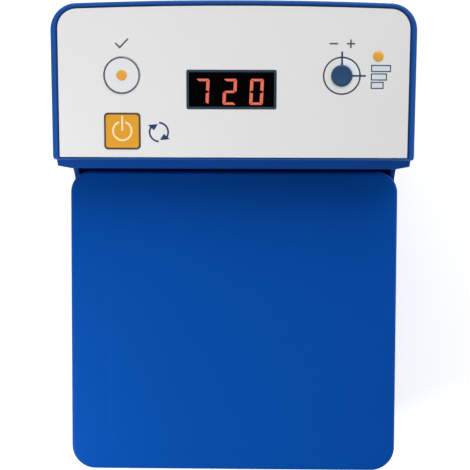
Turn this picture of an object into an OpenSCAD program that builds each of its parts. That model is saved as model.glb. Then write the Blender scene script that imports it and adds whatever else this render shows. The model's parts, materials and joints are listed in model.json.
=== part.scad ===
// Dry block heater: a base housing with a heated block under a hinged lid,
// and a sloped control console that stands behind the lid on a neck.
// Millimetres, +Z up, +X to the right, the front faces -Y.
// The origin is the middle of the footprint at bench level.

/* [Lid] */
// How far the base stands out beside the lid
lid_side = 0.25; // [0:0.05:2]
// Distance of the block behind the lid's front edge
block_front = 20.4; // [18:0.2:30]
// Distance of the block in front of the lid's rear edge
block_behind = 40.8; // [39:0.2:50]
// Height of the lid's rim
lid_h = 14; // [13:0.5:18]
// Thickness of the lid's skin and rim
lid_wall = 2.5; // [2:0.1:3]
// Radius of the lid's front corners in plan
lid_front_r = 12; // [8:0.5:16]
// Radius of the lid's rear corners in plan
lid_rear_r = 10.5; // [8:0.5:12]
// Width of the slightly raised field on top
field_w = 124; // [100:1:130]
// Margin between the raised field and the lid's front edge
field_margin = 8.3; // [6:0.1:12]
// Height of the raised field
field_h = 0.5; // [0.3:0.1:0.8]
// Rounding of the lid's top edge
lid_edge = 1.5; // [0.8:0.1:2]

/* [Base] */
// Free width between the insulation and the housing's wall
side_room = 13.5; // [11:0.5:20]
// How far the lid overhangs the base at the front
lid_overhang = 2.6; // [1:0.1:4]
// Height of the deck above the block's top
deck_rise = 4; // [3.6:0.1:5]
// Wall of the moulded housing
wall = 2.5; // [2:0.1:3]
// Height of the rubber feet below the housing
foot_h = 5; // [4:0.5:10]
// Diameter of a foot
foot_dia = 16; // [12:1:18]

/* [Heating block] */
// Wells across the block
wells_x = 5; // [3:1:5]
// Rows of wells
wells_y = 4; // [2:1:4]
// Distance between wells
well_pitch = 21; // [18:0.5:21]
// Diameter of a well
well_dia = 11; // [9:0.1:12]
// Depth of a well's straight part
well_depth = 32; // [20:1:34]
// Depth of the cone below it
cone_depth = 6; // [4:0.5:7]
// Width of the block
block_w = 112; // [110:1:114]
// Depth of the block
block_d = 90; // [88:1:92]
// Height of the block
block_h = 50; // [46:1:52]

/* [Hinge] */
// Distance of the hinge axis from the lid's rear edge
hinge_inset = 8; // [7:0.5:9]
// Height of the hinge axis above the deck
hinge_rise = 8; // [7.5:0.1:8.5]
// Distance of each hinge from the middle
hinge_x = 50; // [35:1:56]
// Diameter of the hinge pins
pin_dia = 4; // [3:0.1:4.4]

/* [Console] */
// How far the console stands out beside the base
console_side = 3.75; // [2:0.25:8]
// Depth of the console along its slope, at the middle
console_d = 74.4; // [70:0.1:80]
// Slope of the panel in degrees
tilt = 4.4; // [3:0.1:8]
// Height of the panel's front edge above the deck
console_rise = 38.8; // [37:0.2:46]
// Radius of the console's rear corners
console_r = 12.5; // [8:0.5:16]
// Rounding of the bezel's top edge
bezel_edge = 1; // [0.4:0.1:1.1]
// Thickness of the bezel frame
bezel_h = 4.5; // [4:0.1:6]
// Distance from the bezel's top to the underside of the tray
console_drop = 9.9; // [9:0.1:12]
// How far the raked lip reaches in front of the bezel
lip_reach = 4.6; // [2:0.1:6]
// Gap between the lid's rear edge and the lip, in plan
console_gap = 1.1; // [0.8:0.1:3]
// Thickness of the front panel
panel_t = 1.8; // [1.2:0.1:2]
// Width of the bezel beside the panel
panel_margin = 3.4; // [2.6:0.1:4]
// Width of the bezel behind the panel
panel_rear = 2.6; // [2:0.1:4]
// Width of the bezel in front of the panel
panel_front = 1.3; // [1.1:0.1:3]
// How far the panel lies below the bezel's top
panel_recess = 0.4; // [0.2:0.1:0.8]

/* [Controls] */
// Diameter of the round key
set_dia = 17.1; // [14:0.1:18]
// Side of the square key
power_side = 16.9; // [14:0.1:18]
// Travel of both keys
key_travel = 0.6; // [0.3:0.1:0.8]
// Diameter of the calibration dial
dial_dia = 9.6; // [8:0.1:12]
// Diameter of the lamp lenses
lamp_dia = 4.9; // [3:0.1:6]
// Width of the display window
window_w = 42.3; // [40:0.1:50]
// Height of the display window
window_h = 18.3; // [16:0.1:20]

/* [Hidden] */
$fn = 48;

// Clearances
fit = 0.2;
run_fit = 0.05;
hold_fit = 0.02;
eps = 0.01;
far = 300;

// Heights of the block and the layers below it
pan_t = 2.5;
pan_top = foot_h + pan_t;
board_t = 7;
mat_t = 1.5;
mat_inset = 2;
plate_t = 4;
mat_z = pan_top + board_t;
plate_z = mat_z + mat_t;
block_z = plate_z + plate_t;
block_top = block_z + block_h;
deck_z = block_top + deck_rise;
console_z = deck_z + console_rise;

// Widths, from the block outwards
block_gap = 0.5;
jacket_t = 9.5;
jacket_w = block_w + 2 * (block_gap + jacket_t);
base_w = jacket_w + 2 * (side_room + wall);
lid_w = base_w - 2 * lid_side;
console_w = base_w + 2 * console_side;

// Plan stations along Y
lid_d = block_front + block_d + block_behind;
lip_back = lip_reach * cos(tilt) - console_drop * sin(tilt);
console_plan = console_d * cos(tilt) + bezel_h * sin(tilt);
total_d = lid_d + console_gap + lip_back + console_plan;
lid_front = -total_d / 2;
lid_rear = lid_front + lid_d;
console_y = lid_rear + console_gap + lip_back;
console_rear = total_d / 2;
base_front = lid_front + lid_overhang;
base_rear = console_rear - 6.5;
base_front_r = 11;
base_rear_r = 8;
tower_front = lid_rear + 10;
trough_front = lid_rear - 16.5;

// Heights of the lid and the hinge trough
lid_top = deck_z + lid_h;
skin_z = lid_top - lid_wall;
trough_z = deck_z - 12;
cheek_rise = 4;

// Chamber
chamber_y = lid_front + block_front + block_d / 2;
jacket_d = block_d + 2 * (block_gap + jacket_t);
surround_lip = 6;
surround_w = block_w + 2 * surround_lip;
surround_d = block_d + 2 * surround_lip;
aperture_gap = 3;

// Hinge
hinge_y = lid_rear - hinge_inset;
hinge_z = deck_z + hinge_rise;
barrel_r = 3.2;
barrel_w = 14;
ear_t = 3;
ear_gap = 0.3;
bracket_w = barrel_w + 2 * (ear_t + ear_gap);
leaf_t = 2.3;
bracket_screw_x = [-4, 4];
bracket_screw_y = -5;

// Local heights in the console's sloping frame
panel_top = -panel_recess;
panel_under = panel_top - panel_t;
tray_under = -console_drop;
tray_floor = tray_under + 2;
board_top = -10.4;
board_thick = 1.6;
board_w = console_w - 29.5;
board_d = 50;
switch_top = -5.6;
stem_seat = 0.4;
ledge = 2.6;
key_reach = 0.9;
body_gap = 0.35;
bow_r = 2000;
bead = 0.5;

// Places on the panel, from the middle of the bezel's front edge
keys_x = 33.35 - console_w / 2;
set_at = [keys_x, 39.7];
power_at = [keys_x, panel_front + ledge + body_gap + key_reach + power_side / 2];
window_at = [-0.8, 33.2];
dial_at = [console_w / 2 - 34.85, 39.7];
level_at = [console_w / 2 - 17.95, 48.7];
spacer_x = board_w / 2 - 6;
spacer_at = [[-spacer_x, 30], [-26, 56], [26, 56], [spacer_x, 30]];
console_screw_x = base_w / 2 - 7.4;
tray_boss_dia = 7.4;
tray_open_x = console_screw_x - tray_boss_dia / 2 - 0.1;
console_screw_y = [13, console_d - 16.1];

function tray_z(y) = console_z + (y - console_y) * tan(tilt) - console_drop / cos(tilt);
function arc(c, r, from, to, n) =
    [for (i = [0 : n]) c + r * [cos(from + (to - from) * i / n), sin(from + (to - from) * i / n)]];
well_x0 = -(wells_x - 1) * well_pitch / 2;
well_y0 = chamber_y - (wells_y - 1) * well_pitch / 2;

// A plan outline with its own corner radius at the front and at the rear
module outline(w, y0, y1, rf, rr) {
    translate([-w / 2, y0 + rf]) square([w, y1 - y0 - rf - rr]);
    translate([-w / 2 + rf, y0]) square([w - 2 * rf, rf]);
    translate([-w / 2 + rr, y1 - rr]) square([w - 2 * rr, rr]);
    for (s = [-1, 1]) {
        translate([s * (w / 2 - rf), y0 + rf]) circle(rf);
        translate([s * (w / 2 - rr), y1 - rr]) circle(rr);
    }
}

module rounded(w, d, r) {
    outline(w, -d / 2, d / 2, r, r);
}

module ring(w, d, r, t, h) {
    linear_extrude(h) difference() {
        rounded(w, d, r);
        rounded(w - 2 * t, d - 2 * t, max(r - t, 0.5));
    }
}

// The console's outline: small front corners, round rear corners and a bowed rear edge
// whose arc runs smoothly into them, each drawn in by its own margin
function console_points(inset, front, front_r, rear) =
    let (w = console_w - 2 * inset, r = console_r - inset, bow = bow_r - rear, x = w / 2 - r,
         bow_y = console_d - bow_r, y = bow_y + sqrt(pow(bow - r, 2) - x * x), a = acos(x / (bow - r)))
    concat(arc([x, y], r, 0, a, 8), arc([0, bow_y], bow, a, 180 - a, 14), arc([-x, y], r, 180 - a, 180, 8),
           arc([-w / 2 + front_r, front + front_r], front_r, 180, 270, 3),
           arc([w / 2 - front_r, front + front_r], front_r, 270, 360, 3));

module console_outline(inset, front = 0) {
    polygon(console_points(inset, front, 1.6, inset));
}

// The panel's outline, nearly square at the front
module panel_outline(grow = 0) {
    polygon(console_points(panel_margin - grow, panel_front - grow, 0.3, panel_rear - grow));
}

module on_panel(at = [0, 0], z = 0) {
    translate([0, console_y, console_z]) rotate([tilt, 0, 0])
        translate([at[0], at[1], z]) children();
}

module screw(d, head_d, head_h, length) {
    translate([0, 0, -length]) cylinder(h = length, d = d);
    difference() {
        cylinder(h = head_h, d = head_d);
        translate([0, 0, head_h / 2]) cylinder(h = head_h, d = d * 0.8, $fn = 6);
    }
}

// A lead of round section through a list of points
module lead(points, d) {
    for (i = [0 : len(points) - 2]) {
        v = points[i + 1] - points[i];
        translate(points[i]) rotate([0, acos(v[2] / norm(v)), atan2(v[1], v[0])])
            cylinder(h = norm(v), d = d, $fn = 16);
        if (i > 0) translate(points[i]) sphere(d = d, $fn = 16);
    }
}

// ---- Base ----

pan_inset = wall + fit;
foot_inset = 15;
foot_x = base_w / 2 - foot_inset - 1;
foot_at = [for (x = [-foot_x, foot_x], y = [base_front + foot_inset, base_rear - foot_inset]) [x, y]];
boss_dia = 10;
boss_inset = wall + boss_dia / 2 - 0.2;
boss_x = base_w / 2 - boss_inset;
boss_at = [for (x = [-boss_x, boss_x], y = [base_front + boss_inset, base_rear - boss_inset]) [x, y]];

module base_pan() color("#27303c") difference() {
    union() {
        translate([0, 0, foot_h]) linear_extrude(pan_t)
            outline(base_w - 2 * pan_inset, base_front + pan_inset, base_rear - pan_inset,
                    base_front_r - pan_inset, base_rear_r - pan_inset);
        for (p = foot_at) translate([p[0], p[1], pan_top - eps]) cylinder(h = 4, d = 8);
    }
    for (p = foot_at) translate([p[0], p[1], 0]) cylinder(h = 30, d = 3);
    for (p = boss_at) translate([p[0], p[1], 0]) cylinder(h = 30, d = 3.4);
    for (row = [0, 1], i = [-5 : 5])
        translate([i * 8 - 1.25, base_rear - 62 + row * 26, 0]) cube([2.5, 18, 12]);
}

foot_seat = 2.5;
module feet() color("#1c1c1e") for (p = foot_at) translate([p[0], p[1], 0]) difference() {
    rotate_extrude() polygon([[0, 0], [foot_dia / 2 - 1.5, 0], [foot_dia / 2 - 0.6, 0.5],
                              [foot_dia / 2, foot_h], [0, foot_h]]);
    translate([0, 0, -eps]) cylinder(h = foot_seat + 2 * eps, d = 7);
    cylinder(h = 20, d = 3.4);
}

module foot_screws() color("silver") for (p = foot_at)
    translate([p[0], p[1], foot_seat]) mirror([0, 0, 1]) screw(2.9, 6, 1.6, 7);

module housing_screws() color("silver") for (p = boss_at)
    translate([p[0], p[1], foot_h]) mirror([0, 0, 1]) screw(2.9, 5.6, 1.8, 12);

// Side profile of the housing: deck, hinge relief, cheeks and the neck that carries the console
function housing_profile() = concat(
    [[base_rear, foot_h], [base_front + 1.2, foot_h], [base_front, foot_h + 1.2],
     [base_front, deck_z - 1], [base_front + 1, deck_z], [trough_front, deck_z],
     [trough_front + 1, deck_z - 1], [lid_rear - 3, deck_z - 1], [lid_rear + 1, deck_z + cheek_rise]],
    arc([tower_front - 8, deck_z + cheek_rise + 8], 8, -90, 0, 6),
    [[tower_front, tray_z(tower_front)], [base_rear, tray_z(base_rear)]]);

cavity_profile = [
    [base_front + wall, -1], [base_front + wall, deck_z - wall],
    [trough_front - wall, deck_z - wall], [trough_front - wall, trough_z - wall],
    [tower_front + wall, trough_z - wall], [tower_front + wall, tray_z(tower_front) + 9],
    [base_rear - wall, tray_z(base_rear) + 9], [base_rear - wall, -1]];

module along_x(w) {
    translate([-w / 2, 0, 0]) rotate([90, 0, 90]) linear_extrude(w) children();
}

rear_open = [base_w - 52, 62];
rear_open_z = 46;
rear_screw_x = rear_open[0] / 2 + 6;
rear_screw_at = [for (x = [-rear_screw_x, rear_screw_x], z = [-24, 24]) [x, rear_open_z + z]];

module housing_shell() color("#15539f") difference() {
    union() {
        difference() {
            intersection() {
                linear_extrude(far) outline(base_w, base_front, base_rear, base_front_r, base_rear_r);
                along_x(base_w) polygon(housing_profile());
            }
            intersection() {
                translate([0, 0, -1]) linear_extrude(far)
                    outline(base_w - 2 * wall, base_front + wall, base_rear - wall,
                            base_front_r - wall, base_rear_r - wall);
                along_x(base_w) polygon(cavity_profile);
            }
        }
        for (p = boss_at) translate([p[0], p[1], pan_top]) cylinder(h = 30, d = boss_dia);
        intersection() {
            along_x(base_w) polygon(housing_profile());
            for (p = console_screw_y, s = [-1, 1])
                on_panel([s * (console_screw_x + 1), p], tray_under - 14) cylinder(h = 20, d = 10);
        }
    }
    // Hinge trough between the cheeks
    translate([-base_w / 2 + wall, trough_front, trough_z])
        cube([base_w - 2 * wall, tower_front - trough_front, far]);
    // Opening for the block
    translate([0, chamber_y, deck_z - 10]) linear_extrude(20)
        rounded(surround_w - 2 * aperture_gap + 2 * fit, surround_d - 2 * aperture_gap + 2 * fit, 4);
    // Rear service opening
    translate([-rear_open[0] / 2, base_rear - 10, rear_open_z - rear_open[1] / 2])
        cube([rear_open[0], 20, rear_open[1]]);
    for (p = rear_screw_at) translate([p[0], base_rear - 10, p[1]]) rotate([-90, 0, 0])
        cylinder(h = 20, d = 2.9);
    // Cooling slots in both sides of the neck
    for (i = [0 : 6]) translate([-far / 2, base_rear - 46 + i * 5.5, 40]) cube([far, 2.4, 30]);
    for (p = boss_at) translate([p[0], p[1], 0]) cylinder(h = 24, d = 2.92);
    for (p = console_screw_y, s = [-1, 1])
        on_panel([s * console_screw_x, p], tray_under - 20) cylinder(h = 30, d = 3.3);
    for (s = [-1, 1], x = bracket_screw_x)
        translate([s * hinge_x + x, hinge_y + bracket_screw_y, trough_z - 10])
        cylinder(h = 20, d = 2.92);
}

rear_t = 1.5;
module rear_panel() color("#2a3038") difference() {
    translate([0, base_rear, rear_open_z]) rotate([-90, 0, 0]) linear_extrude(rear_t)
        rounded(rear_open[0] + 20, rear_open[1] + 8, 4);
    for (p = rear_screw_at) translate([p[0], base_rear - 10, p[1]]) rotate([-90, 0, 0])
        cylinder(h = 20, d = 3.4);
    translate([inlet_x - inlet_w / 2 - fit, base_rear - 10, inlet_z - inlet_h / 2 - fit])
        cube([inlet_w + 2 * fit, 20, inlet_h + 2 * fit]);
    for (p = [-1, 1]) translate([inlet_x + p * inlet_screw, base_rear - 10, inlet_z])
        rotate([-90, 0, 0]) cylinder(h = 20, d = 3.2);
    for (row = [0, 1], i = [0 : 7]) translate([6 + i * 6, base_rear - 10, 24 + row * 24]) cube([2.4, 20, 18]);
}

module rear_screws() color("silver") {
    for (p = rear_screw_at) translate([p[0], base_rear + rear_t, p[1]]) rotate([-90, 0, 0])
        screw(2.86, 5.4, 1.8, 7);
    for (p = [-1, 1]) translate([inlet_x + p * inlet_screw, inlet_face, inlet_z])
        rotate([-90, 0, 0]) screw(2.86, 5.4, 1.6, 8);
}

// ---- Mains inlet with a fuse drawer ----

inlet_x = -30;
inlet_z = 44;
inlet_w = 27.6;
inlet_h = 31;
inlet_screw = 20;
flange_t = 3;
inlet_deep = 24;
inlet_face = base_rear + rear_t + flange_t;
inlet_back = base_rear + rear_t - inlet_deep;
cavity_w = 24;
cavity_h = 16.6;
cavity_deep = 16;
cavity_drop = 5.6;
drawer_w = 23;
drawer_h = 7;
drawer_rise = 10.4;
drawer_deep = 20;

// Earth-side corners of the socket are cut, as on every appliance inlet
module socket_shape(g = 0) {
    w = cavity_w / 2 + g;
    h = cavity_h / 2 + g;
    polygon([[-w, -h], [w, -h], [w, h - 5], [w - 5, h], [-w + 5, h], [-w, h - 5]]);
}

module mains_inlet() color("#1d1d20") difference() {
    union() {
        translate([inlet_x, base_rear + rear_t, inlet_z]) rotate([-90, 0, 0]) linear_extrude(flange_t)
            rounded(50, 34, 4);
        translate([inlet_x - inlet_w / 2, inlet_back, inlet_z - inlet_h / 2])
            cube([inlet_w, inlet_deep + eps, inlet_h]);
    }
    translate([inlet_x, inlet_face + eps, inlet_z - cavity_drop]) rotate([90, 0, 0])
        linear_extrude(cavity_deep) socket_shape();
    translate([inlet_x - drawer_w / 2 - fit, inlet_face - drawer_deep - fit,
               inlet_z + drawer_rise - drawer_h / 2 - fit])
        cube([drawer_w + 2 * fit, 40, drawer_h + 2 * fit]);
    for (p = [-1, 1]) translate([inlet_x + p * inlet_screw, base_rear - 10, inlet_z])
        rotate([-90, 0, 0]) cylinder(h = 30, d = 3.2);
}

module inlet_pins() color("silver") for (p = [[-7, -2], [7, -2], [0, 2]])
    translate([inlet_x + p[0] - 1, inlet_face - cavity_deep + 2 * eps, inlet_z - cavity_drop + p[1] - 2])
        cube([2, cavity_deep - 2, 4]);

module fuse_drawer() color("#26262a") {
    y = inlet_face;
    z = inlet_z + drawer_rise;
    difference() {
        translate([inlet_x - drawer_w / 2, y - drawer_deep, z - drawer_h / 2])
            cube([drawer_w, drawer_deep + 0.6, drawer_h]);
        for (s = [-1, 1]) translate([inlet_x + s * 5.6 - 4, y - drawer_deep + 2, z - 2.2])
            cube([8, 15, far]);
        translate([inlet_x - 4, y - 0.6, z - drawer_h / 2 - eps]) cube([8, 2, 1.6]);
    }
}

// ---- Heating block and its insulation ----

lead_x = [block_w / 2 - 16, block_w / 2 - 11.5];
probe_x = well_pitch / 2;
probe_z = block_z + 12;
probe_deep = 30;
block_rear = chamber_y + block_d / 2;
block_screw_at = [[-well_pitch * 1.5, -well_pitch], [well_pitch * 1.5, -well_pitch],
                  [-well_pitch * 1.5, well_pitch], [well_pitch * 1.5, well_pitch]];

module well() {
    translate([0, 0, -well_depth]) cylinder(h = well_depth + 1, d = well_dia);
    translate([0, 0, -well_depth - cone_depth])
        cylinder(h = cone_depth + eps, d1 = well_dia * 0.4, d2 = well_dia);
    translate([0, 0, -0.8]) cylinder(h = 0.8 + eps, d1 = well_dia, d2 = well_dia + 1.6);
}

module heating_block() color("#b9bcc0") difference() {
    translate([0, chamber_y, block_z]) linear_extrude(block_h) rounded(block_w, block_d, 3);
    for (i = [0 : wells_x - 1], j = [0 : wells_y - 1])
        translate([well_x0 + i * well_pitch, well_y0 + j * well_pitch, block_top]) well();
    translate([probe_x, block_rear + 1, probe_z]) rotate([90, 0, 0]) cylinder(h = probe_deep + 1, d = 4.2);
    for (p = block_screw_at) translate([p[0], chamber_y + p[1], block_z - 1]) cylinder(h = 9, d = 4.04);
}

module heater_plate() color("#a5a8ac") difference() {
    translate([0, chamber_y, plate_z]) linear_extrude(plate_t) rounded(block_w, block_d, 3);
    for (p = block_screw_at) translate([p[0], chamber_y + p[1], 0]) cylinder(h = 40, d = 4.4);
}

module heater_mat() color("#b4542c") difference() {
    translate([0, chamber_y, mat_z]) linear_extrude(mat_t)
        rounded(block_w - 2 * mat_inset, block_d - 2 * mat_inset, 3);
    for (p = block_screw_at) translate([p[0], chamber_y + p[1], 0]) cylinder(h = 40, d = 9);
}

module block_screws() color("silver") for (p = block_screw_at)
    translate([p[0], chamber_y + p[1], plate_z]) mirror([0, 0, 1]) screw(4, 7, 2.4, 10);

module insulation_board() color("#e7dfcb") difference() {
    translate([0, chamber_y, pan_top]) linear_extrude(board_t) rounded(jacket_w, jacket_d, 6);
    for (p = foot_at) translate([p[0], p[1], 0]) cylinder(h = 40, d = 9);
    for (p = block_screw_at) translate([p[0], chamber_y + p[1], plate_z - 4]) cylinder(h = 40, d = 9);
}

module insulation_jacket() color("#e7dfcb") difference() {
    translate([0, chamber_y, mat_z]) linear_extrude(block_top - 2 - mat_z)
        difference() {
            rounded(jacket_w, jacket_d, 6);
            rounded(block_w + 2 * block_gap, block_d + 2 * block_gap, 3.5);
        }
    translate([probe_x, block_rear - 2, probe_z]) rotate([-90, 0, 0]) cylinder(h = 30, d = 5);
    translate([-probe_x, block_rear - 2, probe_z]) rotate([-90, 0, 0]) cylinder(h = 30, d = 17);
    translate([lead_x[0] - 2, block_rear - 2, mat_z - 1]) cube([10, 30, 5]);
}

module block_surround() color("#222428") {
    z = block_top - 2;
    translate([0, chamber_y, z])
        ring(surround_w - 2 * aperture_gap, surround_d - 2 * aperture_gap, 3.8,
             surround_lip - aperture_gap - block_gap, deck_z - z + eps);
    translate([0, chamber_y, deck_z]) ring(surround_w, surround_d, 6, surround_lip - block_gap, 1);
}

module temperature_probe() color("silver") translate([probe_x, block_rear, probe_z]) rotate([-90, 0, 0]) {
    translate([0, 0, -probe_deep + 1]) cylinder(h = probe_deep + 9, d = 4);
}

module thermal_cutout() color("#c9b48a") translate([-probe_x, block_rear, probe_z]) rotate([-90, 0, 0]) {
    cylinder(h = 5, d = 16);
    translate([0, 0, 5]) cylinder(h = 5, d = 11);
    for (x = [-3.4, 2.6]) translate([x, -1.6, 10 - eps]) cube([0.8, 3.2, 6]);
}

// ---- Hinge ----

module hinge_brackets() color("silver") for (s = [-1, 1]) translate([s * hinge_x, hinge_y, 0]) difference() {
    union() {
        translate([-bracket_w / 2, -8, trough_z]) cube([bracket_w, 12, 2]);
        for (e = [-1, 1]) translate([e * (barrel_w / 2 + ear_gap + ear_t / 2) - ear_t / 2, 0, 0])
            rotate([90, 0, 90]) linear_extrude(ear_t) {
                translate([0, hinge_z]) circle(3);
                polygon([[-3, hinge_z], [-5.5, trough_z + 5], [-5.5, trough_z + 2], [3.5, trough_z + 2],
                         [3.5, trough_z + 5], [2.4, trough_z + 8], [2.4, hinge_z - 2], [2.9, hinge_z]]);
            }
    }
    translate([-30, 0, hinge_z]) rotate([0, 90, 0]) cylinder(h = 60, d = pin_dia + 2 * hold_fit);
    for (x = bracket_screw_x) translate([x, bracket_screw_y, trough_z - 1]) cylinder(h = 6, d = 3.2);
}

module bracket_screws() color("silver") for (s = [-1, 1], x = bracket_screw_x)
    translate([s * hinge_x + x, hinge_y + bracket_screw_y, trough_z + 2]) screw(2.88, 5, 1.6, 6);

module hinge_pins() color("#d8dade") for (s = [-1, 1])
    translate([s * hinge_x - bracket_w / 2, hinge_y, hinge_z]) rotate([0, 90, 0]) {
        cylinder(h = bracket_w + 1, d = pin_dia);
        translate([0, 0, -1]) cylinder(h = 1, d = pin_dia + 1.6);
    }

lug_screw_at = [-13.5, -20.5];

module hinge_lugs() color("#c8cace") for (s = [-1, 1]) translate([s * hinge_x, 0, 0]) difference() {
    union() {
        translate([-barrel_w / 2, hinge_y, hinge_z]) rotate([0, 90, 0]) cylinder(h = barrel_w, r = barrel_r);
        translate([-barrel_w / 2, hinge_y - 24, skin_z - leaf_t]) cube([barrel_w, 24, leaf_t]);
    }
    translate([-30, hinge_y, hinge_z]) rotate([0, 90, 0]) cylinder(h = 60, d = pin_dia + 2 * run_fit);
    for (y = lug_screw_at) translate([0, hinge_y + y, skin_z - 10]) cylinder(h = 20, d = 3.2);
}

module lug_screws() color("silver") for (s = [-1, 1], y = lug_screw_at)
    translate([s * hinge_x, hinge_y + y, skin_z - leaf_t]) mirror([0, 0, 1]) screw(2.88, 5, 1.6, 4);

// ---- Lid ----

gasket_w = surround_w + 4;
gasket_d = surround_d + 4;
liner_w = gasket_w + 12;
liner_front = lid_front + 9;
liner_rear = hinge_y - 23.4;
liner_z = deck_z + 6.5;
liner_t = 1.5;
liner_screw_x = liner_w / 2 - 3;
liner_screw_at = [for (x = [-liner_screw_x, liner_screw_x], y = [liner_front + 7, liner_rear - 7]) [x, y]];
notch_w = bracket_w + 4;

// A slice of the lid's outline, drawn in by a margin, for hulls
module lid_slice(z, inset) {
    translate([0, 0, z]) linear_extrude(eps)
        outline(lid_w - 2 * inset, lid_front + inset, lid_rear - inset,
                lid_front_r - inset, lid_rear_r - inset, $fn = 32);
}

module field_slice(z, inset) {
    translate([0, 0, z]) linear_extrude(eps)
        outline(field_w - 2 * inset, lid_front + field_margin + inset, lid_rear - 4 - inset,
                12 - inset, 12 - inset, $fn = 32);
}

module lid_shell() color("#1450a0") difference() {
    union() {
        difference() {
            union() {
                hull() {
                    lid_slice(deck_z, 0);
                    lid_slice(lid_top - lid_edge, 0);
                    lid_slice(lid_top - lid_edge * 0.3, lid_edge * 0.3);
                    lid_slice(lid_top - eps, lid_edge);
                }
                hull() {
                    field_slice(lid_top - 1, 0);
                    field_slice(lid_top, 0);
                    field_slice(lid_top + field_h - eps, 2);
                }
            }
            translate([0, 0, deck_z - 1]) linear_extrude(lid_h - lid_wall + 1)
                outline(lid_w - 2 * lid_wall, lid_front + lid_wall, lid_rear - lid_wall,
                        lid_front_r - lid_wall, lid_rear_r - lid_wall);
        }
        for (p = liner_screw_at) translate([p[0], p[1], liner_z + liner_t])
            cylinder(h = skin_z - liner_z - liner_t + 1, d = 8);
    }
    for (s = [-1, 1]) translate([s * hinge_x - notch_w / 2, lid_rear - 5, deck_z - 1])
        cube([notch_w, 10, lid_h - lid_wall + 1]);
    for (p = liner_screw_at) translate([p[0], p[1], liner_z]) cylinder(h = 5, d = 2.92);
    for (s = [-1, 1], y = lug_screw_at) translate([s * hinge_x, hinge_y + y, skin_z - 1])
        cylinder(h = 2.8, d = 2.92);
}

module lid_liner() color("#d5d7da") difference() {
    translate([0, 0, liner_z]) linear_extrude(liner_t) outline(liner_w, liner_front, liner_rear, 8, 8);
    for (p = liner_screw_at) translate([p[0], p[1], 0]) cylinder(h = far, d = 3.3);
}

module lid_insulation() color("#e7dfcb") difference() {
    translate([0, 0, liner_z + liner_t]) linear_extrude(skin_z - liner_z - liner_t)
        outline(liner_w - 2, liner_front + 1, liner_rear - 1, 8, 8);
    for (p = liner_screw_at) translate([p[0], p[1], 0]) cylinder(h = far, d = 9);
}

module liner_screws() color("silver") for (p = liner_screw_at)
    translate([p[0], p[1], liner_z]) mirror([0, 0, 1]) screw(2.88, 5.4, 1.6, 4.6);

module lid_gasket() color("#37393d") translate([0, chamber_y, 0]) {
    translate([0, 0, deck_z + 2]) ring(gasket_w, gasket_d, 7, 3.4, liner_z - deck_z - 2);
    translate([0, 0, deck_z]) ring(gasket_w, gasket_d, 7, 1.6, 2 + eps);
}

// ---- Electronics in the neck ----

pcb_z = pan_top + 9;
pcb_y = [tower_front - 2, base_rear - 7];
pcb_w = base_w - 46;
pcb_hole_x = pcb_w / 2 - 5;
pcb_t = 1.6;
pcb_top = pcb_z + pcb_t;
pcb_mid = (pcb_y[0] + pcb_y[1]) / 2;
pcb_hole_at = [for (x = [-pcb_hole_x, pcb_hole_x], y = [pcb_y[0] + 5, pcb_y[1] - 5]) [x, y]];

module power_board() color("#2f6b3c") difference() {
    translate([-pcb_w / 2, pcb_y[0], pcb_z]) cube([pcb_w, pcb_y[1] - pcb_y[0], pcb_t]);
    for (p = pcb_hole_at) translate([p[0], p[1], 0]) cylinder(h = 40, d = 3.2);
}

module board_spacers() color("#d8d4c4") for (p = pcb_hole_at) translate([p[0], p[1], pan_top]) {
    cylinder(h = pcb_z - pan_top, d = 6);
    cylinder(h = pcb_top - pan_top + 1.5, d = 3);
}

module transformer() translate([32, pcb_mid, pcb_top]) {
    color("#5c5f66") translate([-18, -9, 3]) difference() {
        cube([36, 18, 30]);
        for (x = [6, 23]) translate([x, -1, 6]) cube([7, 20, 18]);
    }
    color("#d9c27a") translate([-11.9, -14, 9.1]) cube([23.8, 28, 17.8]);
    color("#2b2b2e") for (x = [-17, 13]) translate([x, -9, 0]) cube([4, 18, 3 + eps]);
}

module relay() color("#2b5a9c") translate([-6, pcb_mid - 8, pcb_top]) {
    translate([-9.5, -7.75, 0]) cube([19, 15.5, 14.4]);
    translate([-9, -7.25, 14.4 - eps]) cube([18, 14.5, 0.6]);
}

module filter_capacitor() color("#c9a227") translate([-34, pcb_mid - 12, pcb_top])
    intersection() {
        translate([-9, -4, 0]) cube([18, 8, 15]);
        translate([0, 0, 0]) linear_extrude(20) rounded(18, 8, 1.2);
    }

module terminal_block() color("#3f7f4a") translate([2, pcb_y[1] - 6, pcb_top]) difference() {
    translate([-12.7, -4.5, 0]) cube([25.4, 9, 11]);
    for (i = [-2 : 2]) translate([i * 5.08, 0, 8]) cylinder(h = 10, d = 3.6);
    for (i = [-2 : 2]) translate([i * 5.08 - 1.6, -10, 2]) cube([3.2, 9, 4]);
}

module triac_heatsink() translate([9 - pcb_w / 2, pcb_mid - 4, pcb_top]) {
    color("#3b3d42") {
        translate([-1, -12, 0]) cube([2.2, 24, 28]);
        for (i = [0 : 5]) translate([-7, -12 + i * 4.5, 0]) cube([6 + eps, 1.4, 28]);
    }
    color("#1b1b1d") translate([1.2, -5, 12]) cube([4.4, 10, 9]);
    color("silver") translate([1.2, -5, 21]) cube([1.2, 10, 6.4]);
}

// ---- Console ----

lip_corner = [6.6, 1.3];

// The lip's outline: its front corners are cut back a little
module lip_outline() {
    half = console_w / 2 - 1;
    offset(0.4) offset(-0.4) polygon([
        [-half, 20], [-half, lip_corner[1] - lip_reach], [lip_corner[0] - half, -lip_reach],
        [half - lip_corner[0], -lip_reach], [half, lip_corner[1] - lip_reach], [half, 20]]);
}

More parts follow.
